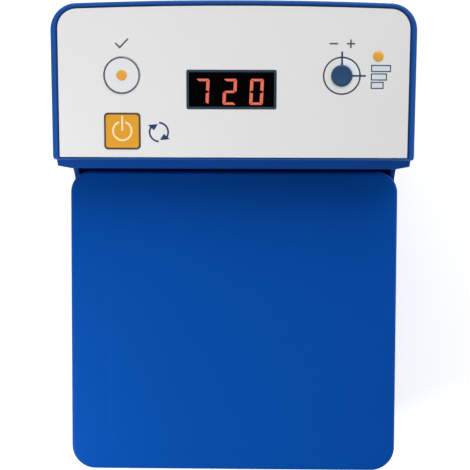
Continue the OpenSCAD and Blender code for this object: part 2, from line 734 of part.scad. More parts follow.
module console_tray() color("#0f4590") on_panel() difference() {
    union() {
        translate([0, 0, tray_under]) linear_extrude(console_drop - bezel_h) console_outline(1, 1);
        intersection() {
            along_x(console_w - 2) polygon(concat(
                [[4, -bezel_h], [0.8, -bezel_h]],
                arc([-lip_reach + 1, tray_under + 1], 1, 150, 270, 4),
                [[4, tray_under]]));
            translate([0, 0, -20]) linear_extrude(40) lip_outline();
        }
    }
    difference() {
        translate([0, 0, tray_floor]) linear_extrude(20) console_outline(3.5, 3.5);
        for (y = console_screw_y, s = [-1, 1])
            translate([s * console_screw_x, y, tray_floor - 1]) cylinder(h = 10, d = tray_boss_dia);
    }
    translate([-tray_open_x, 8, -20]) cube([2 * tray_open_x, console_d - 18.1, 30]);
    for (y = console_screw_y, s = [-1, 1])
        translate([s * console_screw_x, y, -20]) cylinder(h = 30, d = 3.3);
    translate([0, 0, tray_floor + 3.4 - 0.6]) linear_extrude(20) console_outline(2.2, 2.2);
}

module bezel_slice(z, inset) {
    translate([0, 0, z]) linear_extrude(eps) console_outline(inset, inset);
}

module console_bezel() color("#1a56a6") on_panel() difference() {
    union() {
        difference() {
            hull() {
                bezel_slice(-bezel_h, 0);
                bezel_slice(-bezel_edge, 0);
                bezel_slice(-bezel_edge * 0.3, bezel_edge * 0.3);
                bezel_slice(-eps, bezel_edge);
            }
            translate([0, 0, -20]) linear_extrude(40) panel_outline(-ledge);
            translate([0, 0, panel_under]) linear_extrude(20) panel_outline(0.15);
            hull() {
                translate([0, 0, -bead]) linear_extrude(eps) panel_outline(0.15);
                linear_extrude(eps) panel_outline(0.15 + bead);
            }
        }
        for (y = console_screw_y, s = [-1, 1]) mirror([s < 0 ? 1 : 0, 0, 0]) {
            translate([console_screw_x, y, -bezel_h]) cylinder(h = bezel_h + panel_under, d = 8);
            translate([console_screw_x, y - 4, -bezel_h])
                cube([console_w / 2 - panel_margin - console_screw_x, 8, bezel_h + panel_under]);
        }
    }
    for (y = console_screw_y, s = [-1, 1])
        translate([s * console_screw_x, y, -20]) cylinder(h = 20 + panel_under - 0.6, d = 2.92);
}

module console_screws() color("silver") for (y = console_screw_y, s = [-1, 1])
    on_panel([s * console_screw_x, y], tray_under - 14) mirror([0, 0, 1])
        screw(2.88, 5.6, 1.8, 14 + console_drop + panel_under - 1);

module front_panel() color("#e4e5e6") on_panel() difference() {
    translate([0, 0, panel_under]) linear_extrude(panel_t) panel_outline();
    translate([set_at[0], set_at[1], -10]) cylinder(h = 20, d = set_dia + 2 * fit);
    translate([power_at[0], power_at[1], -10]) linear_extrude(20)
        rounded(power_side + 2 * fit, power_side + 2 * fit, 1.7 + fit);
    translate([dial_at[0], dial_at[1], -10]) cylinder(h = 20, d = dial_dia + 2 * fit);
    translate([level_at[0], level_at[1], -10]) cylinder(h = 20, d = lamp_dia + 2 * hold_fit);
    translate([window_at[0], window_at[1], -10]) linear_extrude(20)
        rounded(window_w - 2.8, window_h - 2.8, 0.6);
    translate([window_at[0], window_at[1], panel_top - 1]) linear_extrude(20)
        rounded(window_w + 0.1, window_h + 0.1, 0.8);
}

module panel_spacers() color("#c8cace") for (p = spacer_at) on_panel(p) {
    translate([0, 0, board_top]) cylinder(h = panel_under - board_top, d = 5);
    translate([0, 0, board_top - board_thick - 1.2]) cylinder(h = board_thick + 1.2 + eps, d = 2.9);
}

module control_board() color("#2f6b3c") on_panel() difference() {
    translate([-board_w / 2, 10.5, board_top - board_thick]) cube([board_w, board_d, board_thick]);
    for (p = spacer_at) translate([p[0], p[1], -20]) cylinder(h = 20, d = 3);
    for (y = console_screw_y, s = [-1, 1])
        translate([s * console_screw_x, y, -20]) cylinder(h = 20, d = 12);
    translate([window_at[0], window_at[1], 0]) display_pins(1.1);
}

// The two rows of pins of the display, through the board
module display_pins(d) {
    for (i = [-3 : 3], s = [-1, 1]) translate([i * 5.08, s * 6.4, board_top - board_thick - 0.8])
        cylinder(h = board_thick + 1, d = d, $fn = 16);
}

module display_module() color("#151517") on_panel(window_at) {
    translate([-18.8, -8, board_top]) cube([37.6, 15.5, panel_under - board_top - 0.2]);
    display_pins(0.8);
}

module display_window() color([0.1, 0.02, 0.02, 0.8]) on_panel(window_at, panel_top - 1)
    linear_extrude(1.1) rounded(window_w, window_h, 0.7);

// A key is a cap that stands a little proud, a flange that keeps it in, and a stem to its switch
module key_stem() {
    translate([0, 0, switch_top - stem_seat]) cylinder(h = flange_under - switch_top + 2 * stem_seat, d = 3);
}

key_flange = 1.2;
flange_under = panel_under - 0.1 - key_flange;
cap_top = -0.1;

module set_key() color("#eeeeee") on_panel(set_at) {
    difference() {
        union() {
            translate([0, 0, flange_under]) cylinder(h = key_flange, d = set_dia + 2 * key_reach);
            translate([0, 0, flange_under]) cylinder(h = cap_top - flange_under, d = set_dia);
        }
        translate([0, 0, cap_top - 1.2]) cylinder(h = 5, d = lamp_dia + 2 * hold_fit);
    }
    key_stem();
}

module set_lamp() color("#f0a830") on_panel(set_at, cap_top - 1.2) {
    cylinder(h = 1.2, d = lamp_dia);
    translate([0, 0, 1.2 - eps]) cylinder(h = 0.2, d1 = lamp_dia, d2 = lamp_dia - 1.2);
}

module power_key() color("#f0a830") on_panel(power_at) {
    translate([0, 0, flange_under]) linear_extrude(key_flange)
        rounded(power_side + 2 * key_reach, power_side + 2 * key_reach, 2);
    translate([0, 0, flange_under]) linear_extrude(cap_top - flange_under)
        rounded(power_side, power_side, 1.7);
    key_stem();
}

module key_switches() color("#26262a") for (at = [set_at, power_at]) on_panel(at) difference() {
    translate([-3, -3, board_top]) cube([6, 6, switch_top - board_top]);
    translate([0, 0, switch_top - stem_seat - 2 * key_travel]) cylinder(h = 5, d = 3.6);
}

module cal_dial() color("#1e4a78") on_panel(dial_at) {
    translate([0, 0, panel_under - 0.4]) cylinder(h = -panel_under + 0.6 + 0.4 - 0.5, d = dial_dia);
    translate([0, 0, 0.1 - eps]) cylinder(h = 0.4, d1 = dial_dia, d2 = dial_dia - 0.8);
    translate([0, 0, panel_under - 3]) cylinder(h = 2.7, d = 4);
}

module cal_potentiometer() color("#34495e") on_panel(dial_at) difference() {
    translate([-5, -5, board_top]) cube([10, 10, panel_under - 0.8 - board_top]);
    translate([0, 0, panel_under - 3.2]) cylinder(h = 5, d = 4 + 2 * run_fit);
}

module level_lamp() color("#f0a830") on_panel(level_at) {
    translate([0, 0, board_top]) cylinder(h = -0.2 - board_top, d = lamp_dia);
    translate([0, 0, -0.2 - eps]) cylinder(h = 0.3, d1 = lamp_dia, d2 = lamp_dia - 1.2);
    translate([0, 0, board_top]) cylinder(h = 2, d = lamp_dia + 0.6);
}

// ---- Wiring ----

ribbon_x = -8;
ribbon_y = console_y + console_d - 30.1;
module ribbon_cable() color("#8d9096") {
    z = board_under_z(ribbon_y);
    translate([ribbon_x - 6, ribbon_y, pcb_top + 2]) cube([12, 1, z - pcb_top - 2.4]);
    translate([ribbon_x - 7, ribbon_y - 1.5, pcb_top]) cube([14, 4, 4]);
    translate([ribbon_x - 7, ribbon_y - 1.5, z - 5.2]) cube([14, 4, 5]);
}
function board_under_z(y) = console_z + (y - console_y) * tan(tilt) + (board_top - board_thick) / cos(tilt);

module heater_leads() color("#b83a2e") for (x = lead_x)
    lead([[x, block_rear - mat_inset, mat_z + mat_t / 2], [x, pcb_y[0] + 4, mat_z + mat_t / 2],
          [x, pcb_y[0] + 4, pcb_z]], 1.5);

module mains_leads() color("#6b4a2e") for (i = [-1, 1])
    lead([[inlet_x + i * 7, inlet_back, inlet_z - 8],
          [inlet_x + i * 7, base_rear - inlet_deep - 4, inlet_z - 8],
          [inlet_x + i * 7, base_rear - inlet_deep - 4, pcb_top]], 2.4);

base_pan();
feet();
foot_screws();
housing_screws();
housing_shell();
heating_block();
heater_plate();
heater_mat();
insulation_jacket();
insulation_board();
block_surround();
block_screws();
temperature_probe();
thermal_cutout();
hinge_brackets();
hinge_pins();
bracket_screws();
hinge_lugs();
lug_screws();
lid_shell();
lid_liner();
lid_insulation();
lid_gasket();
liner_screws();
power_board();
board_spacers();
transformer();
relay();
filter_capacitor();
terminal_block();
triac_heatsink();
rear_panel();
rear_screws();
mains_inlet();
inlet_pins();
fuse_drawer();
console_tray();
console_bezel();
console_screws();
front_panel();
control_board();
panel_spacers();
display_module();
display_window();
set_key();
set_lamp();
power_key();
key_switches();
cal_dial();
cal_potentiometer();
level_lamp();
ribbon_cable();
heater_leads();
mains_leads();
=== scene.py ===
"""Looks for a dry block heater with a hinged lid and a sloped control console."""

import json
import math

import bmesh
import bpy
from mathutils import Matrix, Vector

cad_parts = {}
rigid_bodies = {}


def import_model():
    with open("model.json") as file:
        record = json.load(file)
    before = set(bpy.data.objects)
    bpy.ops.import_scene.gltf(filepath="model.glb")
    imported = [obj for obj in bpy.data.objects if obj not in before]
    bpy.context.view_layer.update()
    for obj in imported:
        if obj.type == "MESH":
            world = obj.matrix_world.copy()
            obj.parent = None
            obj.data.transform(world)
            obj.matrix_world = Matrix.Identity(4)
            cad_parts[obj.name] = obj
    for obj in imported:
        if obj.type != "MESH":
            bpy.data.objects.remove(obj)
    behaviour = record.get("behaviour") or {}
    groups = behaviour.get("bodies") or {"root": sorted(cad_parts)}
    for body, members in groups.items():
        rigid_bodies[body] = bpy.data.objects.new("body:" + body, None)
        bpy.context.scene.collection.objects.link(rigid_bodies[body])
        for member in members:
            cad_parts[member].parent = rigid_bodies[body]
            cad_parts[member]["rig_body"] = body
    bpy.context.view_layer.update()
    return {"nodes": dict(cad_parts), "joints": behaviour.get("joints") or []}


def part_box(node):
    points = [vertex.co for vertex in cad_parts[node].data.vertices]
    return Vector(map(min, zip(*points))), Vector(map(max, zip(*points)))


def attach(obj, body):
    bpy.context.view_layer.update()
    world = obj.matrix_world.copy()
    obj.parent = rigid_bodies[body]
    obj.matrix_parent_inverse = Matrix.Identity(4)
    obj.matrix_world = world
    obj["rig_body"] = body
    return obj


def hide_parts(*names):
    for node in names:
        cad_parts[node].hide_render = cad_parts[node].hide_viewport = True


bl_info = {
    "name": "Dry block heater",
    "version": (1, 0, 0),
    "blender": (4, 5, 0),
    "location": "View3D > Sidebar > Block heater",
    "description": "Dresses a dry block heater: lid, console, panel, keys, readout and block",
    "category": "Object",
}

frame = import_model()
MM = 0.001

# ---------------------------------------------------------------- places, from the frame

JOINTS = {j["name"]: j for j in frame["joints"]}
INTO_PANEL = Vector(JOINTS["set_key_press"]["axis"]).normalized()
PANEL_NORMAL = -INTO_PANEL
PANEL_UP = Vector((0, PANEL_NORMAL.z, -PANEL_NORMAL.y))
DIAL_UP = 39.7
PANEL_ORIGIN = Vector(JOINTS["cal_dial_turn"]["pos_m"]) - PANEL_UP * DIAL_UP * MM
PANEL_ORIGIN.x = 0.0
PANEL = Matrix((
    (1, 0, 0, PANEL_ORIGIN.x),
    (0, PANEL_UP.y, PANEL_NORMAL.y, PANEL_ORIGIN.y),
    (0, PANEL_UP.z, PANEL_NORMAL.z, PANEL_ORIGIN.z),
    (0, 0, 0, 1),
))
WORLD = Matrix.Identity(4)


def box_mm(node):
    """The node's lowest and highest corners in millimetres."""
    low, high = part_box(node)
    return low / MM, high / MM


def panel_place(node, up):
    """A place on the panel in millimetres: a node's middle across it, and a height up its slope."""
    low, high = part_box(node)
    return Vector(((low.x + high.x) / 2 / MM, up))


# ---------------------------------------------------------------- sizes and colours


class HeaterSizes(bpy.types.PropertyGroup):
    """Sizes that the looks add to the frame."""

    lid_edge: bpy.props.FloatProperty(
        name="Lid edge", description="Rounding of the lid's top edge",
        default=2.0 * MM, min=0.5 * MM, max=3.0 * MM, unit="LENGTH")
    field_width: bpy.props.FloatProperty(
        name="Field width", description="Width of the raised field on the lid",
        default=128.0 * MM, min=80.0 * MM, max=140.0 * MM, unit="LENGTH")
    field_margin: bpy.props.FloatProperty(
        name="Field margin", description="Distance of the field from the lid's front edge",
        default=8.3 * MM, min=6.0 * MM, max=12.0 * MM, unit="LENGTH")
    field_rise: bpy.props.FloatProperty(
        name="Field rise", description="Height of the raised field",
        default=0.3 * MM, min=0.1 * MM, max=0.8 * MM, unit="LENGTH")
    print_thickness: bpy.props.FloatProperty(
        name="Print thickness", description="Thickness of the printed marks on the panel",
        default=0.04 * MM, min=0.02 * MM, max=0.1 * MM, unit="LENGTH")
    digit_height: bpy.props.FloatProperty(
        name="Digit height", description="Height of the readout's digits",
        default=12.1 * MM, min=8.0 * MM, max=14.0 * MM, unit="LENGTH")


class HeaterColours(bpy.types.PropertyGroup):
    """Colours a user may want to change, as linear values."""

    lid_blue: bpy.props.FloatVectorProperty(
        name="Lid blue", description="Moulded colour of the lid", subtype="COLOR", size=3,
        default=(0.002, 0.071, 0.372))
    housing_blue: bpy.props.FloatVectorProperty(
        name="Housing blue", description="Moulded colour of the housing and tray", subtype="COLOR",
        size=3, default=(0.003, 0.058, 0.285))
    bezel_blue: bpy.props.FloatVectorProperty(
        name="Bezel blue", description="Moulded colour of the bezel", subtype="COLOR", size=3,
        default=(0.008, 0.080, 0.335))
    panel_white: bpy.props.FloatVectorProperty(
        name="Panel white", description="Colour of the panel's overlay", subtype="COLOR", size=3,
        default=(0.818, 0.811, 0.811))
    print_navy: bpy.props.FloatVectorProperty(
        name="Print navy", description="Colour of the printed marks", subtype="COLOR", size=3,
        default=(0.010, 0.04, 0.13))
    amber: bpy.props.FloatVectorProperty(
        name="Amber", description="Colour of the amber key and lamps", subtype="COLOR", size=3,
        default=(0.77, 0.352, 0.030))
    digit_red: bpy.props.FloatVectorProperty(
        name="Digit red", description="Colour of the lit digits", subtype="COLOR", size=3,
        default=(0.42, 0.073, 0.041))


def size_mm(name):
    """One of the sizes above, in millimetres."""
    return getattr(bpy.context.scene.heater_sizes, name) / MM


def colours():
    return bpy.context.scene.heater_colours


# ---------------------------------------------------------------- shader groups


# How far the gloss spreads about its level, and how far tool marks are drawn out
MOULDED_SPREAD, MACHINED_SPREAD = 0.08, 0.18
MARKS_STRETCH = (0.04, 1.0, 1.0)


def surface_group(name, inputs, outputs):
    """A node group with its sockets, and its nodes for what goes in and what comes out."""
    tree = bpy.data.node_groups.new(name, "ShaderNodeTree")
    for socket, value in inputs:
        made = tree.interface.new_socket(
            name=socket, in_out="INPUT", socket_type="NodeSocketFloat")
        made.default_value = value
    for socket in outputs:
        tree.interface.new_socket(name=socket, in_out="OUTPUT", socket_type="NodeSocketFloat")
    return tree, tree.nodes.new("NodeGroupInput"), tree.nodes.new("NodeGroupOutput")


def moulded_surface_group():
    """Fine spark texture of a mould, with slow mottling of colour and gloss."""
    name = "Moulded surface"
    if name in bpy.data.node_groups:
        return bpy.data.node_groups[name]
    tree, inputs, outputs = surface_group(
        name,
        (("Grain per metre", 2200.0), ("Drift per metre", 14.0), ("Base roughness", 0.4),
         ("Roughness spread", MOULDED_SPREAD)),
        ("Height", "Mottle", "Roughness"))
    nodes, links = tree.nodes, tree.links
    place = nodes.new("ShaderNodeTexCoord")
    grain = nodes.new("ShaderNodeTexNoise")
    grain.inputs["Detail"].default_value = 3.0
    drift = nodes.new("ShaderNodeTexNoise")
    drift.inputs["Detail"].default_value = 4.0
    drift.inputs["Roughness"].default_value = 0.6
    for texture, socket in ((grain, "Grain per metre"), (drift, "Drift per metre")):
        links.new(place.outputs["Object"], texture.inputs["Vector"])
        links.new(inputs.outputs[socket], texture.inputs["Scale"])
    spread = nodes.new("ShaderNodeMath")
    spread.operation = "MULTIPLY_ADD"
    links.new(drift.outputs["Fac"], spread.inputs[0])
    links.new(inputs.outputs["Roughness spread"], spread.inputs[1])
    links.new(inputs.outputs["Base roughness"], spread.inputs[2])
    links.new(grain.outputs["Fac"], outputs.inputs["Height"])
    links.new(drift.outputs["Fac"], outputs.inputs["Mottle"])
    links.new(spread.outputs[0], outputs.inputs["Roughness"])
    return tree


def machined_surface_group():
    """Fine parallel tool marks with a slow drift, for milled and brushed metal."""
    name = "Machined surface"
    if name in bpy.data.node_groups:
        return bpy.data.node_groups[name]
    tree, inputs, outputs = surface_group(
        name, (("Marks per metre", 900.0), ("Base roughness", 0.3)), ("Height", "Roughness"))
    nodes, links = tree.nodes, tree.links
    place = nodes.new("ShaderNodeTexCoord")
    stretch = nodes.new("ShaderNodeMapping")
    stretch.inputs["Scale"].default_value = MARKS_STRETCH
    marks = nodes.new("ShaderNodeTexNoise")
    marks.inputs["Detail"].default_value = 4.0
    spread = nodes.new("ShaderNodeMath")
    spread.operation = "MULTIPLY_ADD"
    spread.inputs[1].default_value = MACHINED_SPREAD
    links.new(place.outputs["Object"], stretch.inputs["Vector"])
    links.new(stretch.outputs["Vector"], marks.inputs["Vector"])
    links.new(inputs.outputs["Marks per metre"], marks.inputs["Scale"])
    links.new(marks.outputs["Fac"], spread.inputs[0])
    links.new(inputs.outputs["Base roughness"], spread.inputs[2])
    links.new(marks.outputs["Fac"], outputs.inputs["Height"])
    links.new(spread.outputs[0], outputs.inputs["Roughness"])
    return tree


# ---------------------------------------------------------------- materials


def new_material(name):
    material = bpy.data.materials.new(name)
    material.use_nodes = True
    return material, material.node_tree, material.node_tree.nodes["Principled BSDF"]


def add_bump(tree, shader, height, strength, distance_mm):
    bump = tree.nodes.new("ShaderNodeBump")
    bump.inputs["Strength"].default_value = strength
    bump.inputs["Distance"].default_value = distance_mm * MM
    tree.links.new(height, bump.inputs["Height"])
    tree.links.new(bump.outputs["Normal"], shader.inputs["Normal"])


def add_surface(tree, group, values):
    """Places a surface group with its own values."""
    surface = tree.nodes.new("ShaderNodeGroup")
    surface.node_tree = group
    for name, value in values.items():
        surface.inputs[name].default_value = value
    return surface.outputs


def mottled(tree, mottle, colour, low, high):
    """A colour that drifts between a darker and a lighter tone."""
    mix = tree.nodes.new("ShaderNodeMix")
    mix.data_type = "RGBA"
    mix.inputs["A"].default_value = (*[c * low for c in colour], 1)
    mix.inputs["B"].default_value = (*[min(c * high, 1) for c in colour], 1)
    tree.links.new(mottle, mix.inputs["Factor"])
    return mix.outputs["Result"]


def moulded(name, colour, roughness, grain=2200.0, bump=0.25, depth=0.03, drift=14.0, change=0.06,
            specular=0.35):
    """Moulded plastic or rubber: mottled colour, uneven gloss and a spark-textured skin."""
    material, tree, shader = new_material(name)
    surface = add_surface(tree, moulded_surface_group(), {
        "Grain per metre": grain, "Drift per metre": drift,
        "Base roughness": roughness - MOULDED_SPREAD / 2, "Roughness spread": MOULDED_SPREAD})
    tone = mottled(tree, surface["Mottle"], colour, 1 - change, 1 + change)
    tree.links.new(tone, shader.inputs["Base Color"])
    tree.links.new(surface["Roughness"], shader.inputs["Roughness"])
    shader.inputs["Specular IOR Level"].default_value = specular
    add_bump(tree, shader, surface["Height"], bump, depth)
    return material


def machined(name, colour, roughness, marks):
    """Bare metal with fine tool marks."""
    material, tree, shader = new_material(name)
    surface = add_surface(tree, machined_surface_group(), {
        "Marks per metre": marks, "Base roughness": roughness - MACHINED_SPREAD / 2})
    shader.inputs["Base Color"].default_value = (*colour, 1)
    shader.inputs["Metallic"].default_value = 1.0
    tree.links.new(surface["Roughness"], shader.inputs["Roughness"])
    add_bump(tree, shader, surface["Height"], 0.15, 0.02)
    return material


def lit(name, colour, strength):
    """A lens or segment with light behind it, slightly uneven."""
    material, tree, shader = new_material(name)
    surface = add_surface(tree, moulded_surface_group(), {
        "Grain per metre": 900.0, "Drift per metre": 260.0})
    tone = mottled(tree, surface["Mottle"], colour, 0.86, 1.1)
    tree.links.new(tone, shader.inputs["Emission Color"])
    tree.links.new(tone, shader.inputs["Base Color"])
    shader.inputs["Emission Strength"].default_value = strength
    shader.inputs["Roughness"].default_value = 0.3
    return material


MATERIALS = {}

# Thin even ink of everything printed on the panel, and the smooth plastic of the two keys
INK = {"roughness": 0.4, "grain": 2600, "bump": 0.05, "depth": 0.01, "drift": 200.0}
KEY = {"roughness": 0.38, "grain": 2600, "bump": 0.06, "depth": 0.01, "specular": 0.2}


def build_materials():
    c = colours()
    MATERIALS.update({
        "blue_lid": moulded(
            "Satin blue lid", c.lid_blue, 0.42, grain=1900, bump=0.22, drift=9.0, specular=0.03),
        "blue_housing": moulded(
            "Satin blue housing", c.housing_blue, 0.44, grain=1900, specular=0.05),
        "blue_bezel": moulded(
            "Semi-gloss blue bezel", c.bezel_blue, 0.34, grain=2400, bump=0.12, depth=0.02,
            specular=0.15),
        "white_panel": moulded(
            "White overlay", c.panel_white, 0.42, grain=2600, bump=0.08, depth=0.015, drift=22.0,
            change=0.02, specular=0.2),
        "dark_panel": moulded(
            "Dark powder coat", (0.022, 0.027, 0.036), 0.5, grain=2600, bump=0.5, depth=0.05),
        "black_plastic": moulded(
            "Black moulding", (0.012, 0.012, 0.014), 0.42, grain=2400, bump=0.2),
        "foot_rubber": moulded(
            "Foot rubber", (0.012, 0.012, 0.012), 0.75, grain=1500, bump=0.4, depth=0.05),
        "gasket_rubber": moulded(
            "Gasket rubber", (0.022, 0.022, 0.025), 0.55, grain=1500, bump=0.2),
        "heater_silicone": moulded(
            "Heater silicone", (0.40, 0.085, 0.03), 0.6, grain=900, bump=0.3, depth=0.04),
        "insulation": moulded(
            "Ceramic fibre", (0.72, 0.67, 0.56), 0.9, grain=700, bump=1.0, depth=0.25, drift=60.0,
            change=0.12),
        "ceramic_body": moulded("Ceramic body", (0.6, 0.48, 0.3), 0.6),
        "circuit_board": moulded(
            "Solder mask", (0.018, 0.14, 0.045), 0.3, grain=1200, bump=0.15, depth=0.02),
        "spacer_plastic": moulded("Nylon", (0.68, 0.64, 0.53), 0.5),
        "relay_blue": moulded("Relay case", (0.03, 0.10, 0.30), 0.35),
        "capacitor_film": moulded("Capacitor case", (0.5, 0.32, 0.03), 0.35),
        "terminal_green": moulded("Terminal green", (0.035, 0.18, 0.06), 0.45),
        "transformer_core": moulded(
            "Varnished core", (0.10, 0.11, 0.13), 0.4, grain=500, bump=0.5, depth=0.1),
        "heatsink": moulded(
            "Black anodised", (0.03, 0.03, 0.034), 0.4, grain=1800, bump=0.2, depth=0.02),
        "cable_grey": moulded("Grey cable", (0.28, 0.29, 0.31), 0.5),
        "lead_red": moulded("Red silicone lead", (0.42, 0.03, 0.02), 0.5),
        "lead_brown": moulded("Brown lead", (0.15, 0.065, 0.03), 0.45),
        "key_white": moulded("White key", (0.80, 0.81, 0.82), drift=30.0, change=0.015, **KEY),
        "key_amber": moulded("Amber key", c.amber, drift=40.0, change=0.08, **KEY),
        "dial_navy": moulded(
            "Navy dial", (0.006, 0.048, 0.13), 0.36, grain=2600, bump=0.1, depth=0.015),
        "print_navy": moulded("Navy print", c.print_navy, change=0.08, **INK),
        "print_ink": moulded("Dark print", (0.018, 0.024, 0.045), change=0.08, **INK),
        "border_navy": moulded("Window border", (0.006, 0.024, 0.05), change=0.08, **INK),
        "print_grey": moulded("Grey print", (0.065, 0.065, 0.07), change=0.08, **INK),
        "print_brown": moulded("Brown print", (0.075, 0.05, 0.028), change=0.08, **INK),
        "print_cream": moulded("Cream print", (0.95, 0.80, 0.46), change=0.05, **INK),
        "print_pale": moulded("Pale blue print", (0.70, 0.78, 0.88), change=0.03, **INK),
        "print_ice": moulded("Ice blue print", (0.82, 0.89, 0.95), change=0.02, **INK),
        "block_aluminium": machined("Milled aluminium", (0.66, 0.67, 0.69), 0.34, 1200),
        "liner_metal": machined("Brushed liner", (0.62, 0.63, 0.65), 0.36, 900),
        "screw_steel": machined("Plated screws", (0.62, 0.62, 0.64), 0.32, 1500),
        "hinge_steel": machined("Brushed hinge steel", (0.6, 0.61, 0.63), 0.36, 1100),
        "spacer_metal": machined("Turned brass", (0.70, 0.53, 0.26), 0.3, 1500),
        "pin_brass": machined("Nickel pins", (0.70, 0.69, 0.65), 0.25, 1500),
        "window_dark": moulded(
            "Dark window", (0.0009, 0.0006, 0.0007), 0.12, grain=300, bump=0.0, depth=0.01,
            specular=0.01),
        "lamp_amber": lit("Amber lens", c.amber, 0.08),
        "digit_red": lit("Lit segments", c.digit_red, 0.9),
    })


# ---------------------------------------------------------------- mesh helpers


def finish_piece(name, bm, body, material, place=WORLD, sharp=35.0):
    """Makes an object in metres from a bmesh in millimetres, gives it its material and ties it to
    its body.
    """
    bmesh.ops.transform(bm, matrix=place @ Matrix.Scale(MM, 4), verts=bm.verts)
    mesh = bpy.data.meshes.new(name)
    bm.to_mesh(mesh)
    bm.free()
    mesh.materials.append(MATERIALS[material])
    mesh.shade_smooth()
    mesh.set_sharp_from_angle(angle=math.radians(sharp))
    piece = bpy.data.objects.new(name, mesh)
    bpy.context.scene.collection.objects.link(piece)
    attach(piece, body)
    return piece


def arc(centre, radius, start, end, steps):
    """Points along an arc, with its ends given in radians."""
    angles = [start + (end - start) * i / steps for i in range(steps + 1)]
    return [(centre[0] + radius * math.cos(a), centre[1] + radius * math.sin(a)) for a in angles]


def rounded(w, y0, y1, front_r, rear_r=None, x=0.0, steps=8):
    """Outline of a rectangle with its own corner radius at the front and the rear."""
    rear_r = front_r if rear_r is None else rear_r
    left, right, turn = x - w / 2, x + w / 2, math.pi / 2
    return (arc((right - rear_r, y1 - rear_r), rear_r, 0, turn, steps)
            + arc((left + rear_r, y1 - rear_r), rear_r, turn, 2 * turn, steps)
            + arc((left + front_r, y0 + front_r), front_r, 2 * turn, 3 * turn, steps)
            + arc((right - front_r, y0 + front_r), front_r, 3 * turn, 4 * turn, steps))


def loft(bm, sections, close_first=True, close_last=True):
    """Skins a row of (outline, z) sections, each one extruded from the one before it."""
    outline, z = sections[0]
    loop = [bm.verts.new((x, y, z)) for x, y in outline]
    edges = [bm.edges.new(pair) for pair in zip(loop, loop[1:] + loop[:1])]
    if close_first:
        bmesh.ops.contextual_create(bm, geom=edges)
    for outline, z in sections[1:]:
        made = bmesh.ops.extrude_edge_only(bm, edges=edges)["geom"]
        edges = [g for g in made if isinstance(g, bmesh.types.BMEdge)]
        order = {tuple(v.co): i for i, v in enumerate(loop)}
        fresh = {order[tuple(g.co)]: g for g in made if isinstance(g, bmesh.types.BMVert)}
        loop = [fresh[i] for i in range(len(loop))]
        for vert, (x, y) in zip(loop, outline):
            vert.co = (x, y, z)
    if close_last:
        bmesh.ops.contextual_create(bm, geom=edges)
    bmesh.ops.recalc_face_normals(bm, faces=bm.faces)


def close_seams(bm):
    """Merges doubled points and turns every face outwards."""
    bmesh.ops.remove_doubles(bm, verts=bm.verts, dist=1e-4)
    bmesh.ops.recalc_face_normals(bm, faces=bm.faces)


def quarter(radius, steps):
    """(inset, drop) pairs that round an edge from its side to its top."""
    angles = [math.pi / 2 * i / steps for i in range(steps + 1)]
    return [(radius * (1 - math.cos(a)), radius * (1 - math.sin(a))) for a in angles]


def inset_outline(w, d, r, inset, x, y):
    """Outline of a rounded rectangle about a point, drawn in by an inset."""
    return rounded(w - 2 * inset, y - d / 2 + inset, y + d / 2 - inset, max(r - inset, 0.05), x=x)


def slab(bm, w, d, r, z0, z1, edge=0.0, x=0.0, y=0.0):
    """A rounded plate with an eased top edge."""
    eased = quarter(edge, 3) if edge > 0 else [(0, 0)]
    sections = [(inset_outline(w, d, r, 0, x, y), z0)]
    sections += [(inset_outline(w, d, r, inset, x, y), z1 - drop) for inset, drop in eased]
    loft(bm, sections)


def border(bm, w, d, r, line, z0, z1, x=0.0, y=0.0):
    """A printed frame of even width inside a rounded rectangle."""
    outer, inner = (inset_outline(w, d, r, inset, x, y) for inset in (0, line))
    loft(bm, [(outer, z0), (outer, z1), (inner, z1), (inner, z0), (outer, z0)], False, False)
    close_seams(bm)


def lathe(bm, profile, segments=64, x=0.0, y=0.0):
    """Turns a profile of (radius, z) points round a vertical axis."""
    verts = [bm.verts.new((x + r, y, z)) for r, z in profile]
    edges = [bm.edges.new(pair) for pair in zip(verts, verts[1:])]
    bmesh.ops.spin(bm, geom=verts + edges, cent=(x, y, 0), axis=(0, 0, 1), angle=2 * math.pi,
                   steps=segments, use_merge=True, use_duplicate=False)
    close_seams(bm)


def annulus(bm, outer, inner, z0, z1, x=0.0, y=0.0):
    """A printed ring."""
    lathe(bm, [(inner, z0), (outer, z0), (outer, z1), (inner, z1), (inner, z0)], 96, x, y)


def bar(bm, x0, y0, x1, y1, z0, z1):
    """A plain box between two corners, as a printed bar or a cutter."""
    made = bmesh.ops.create_cube(bm, size=1.0)["verts"]
    bmesh.ops.scale(bm, vec=(x1 - x0, y1 - y0, z1 - z0), verts=made)
    bmesh.ops.translate(bm, vec=((x0 + x1) / 2, (y0 + y1) / 2, (z0 + z1) / 2), verts=made)


def plate(bm, points, z0, z1):
    """A flat printed shape raised from its outline."""
    face = bm.faces.new([bm.verts.new((x, y, z0)) for x, y in points])
    raised = bmesh.ops.extrude_face_region(bm, geom=[face])["geom"]
    verts = [g for g in raised if isinstance(g, bmesh.types.BMVert)]
    bmesh.ops.translate(bm, vec=(0, 0, z1 - z0), verts=verts)
    bmesh.ops.recalc_face_normals(bm, faces=bm.faces)


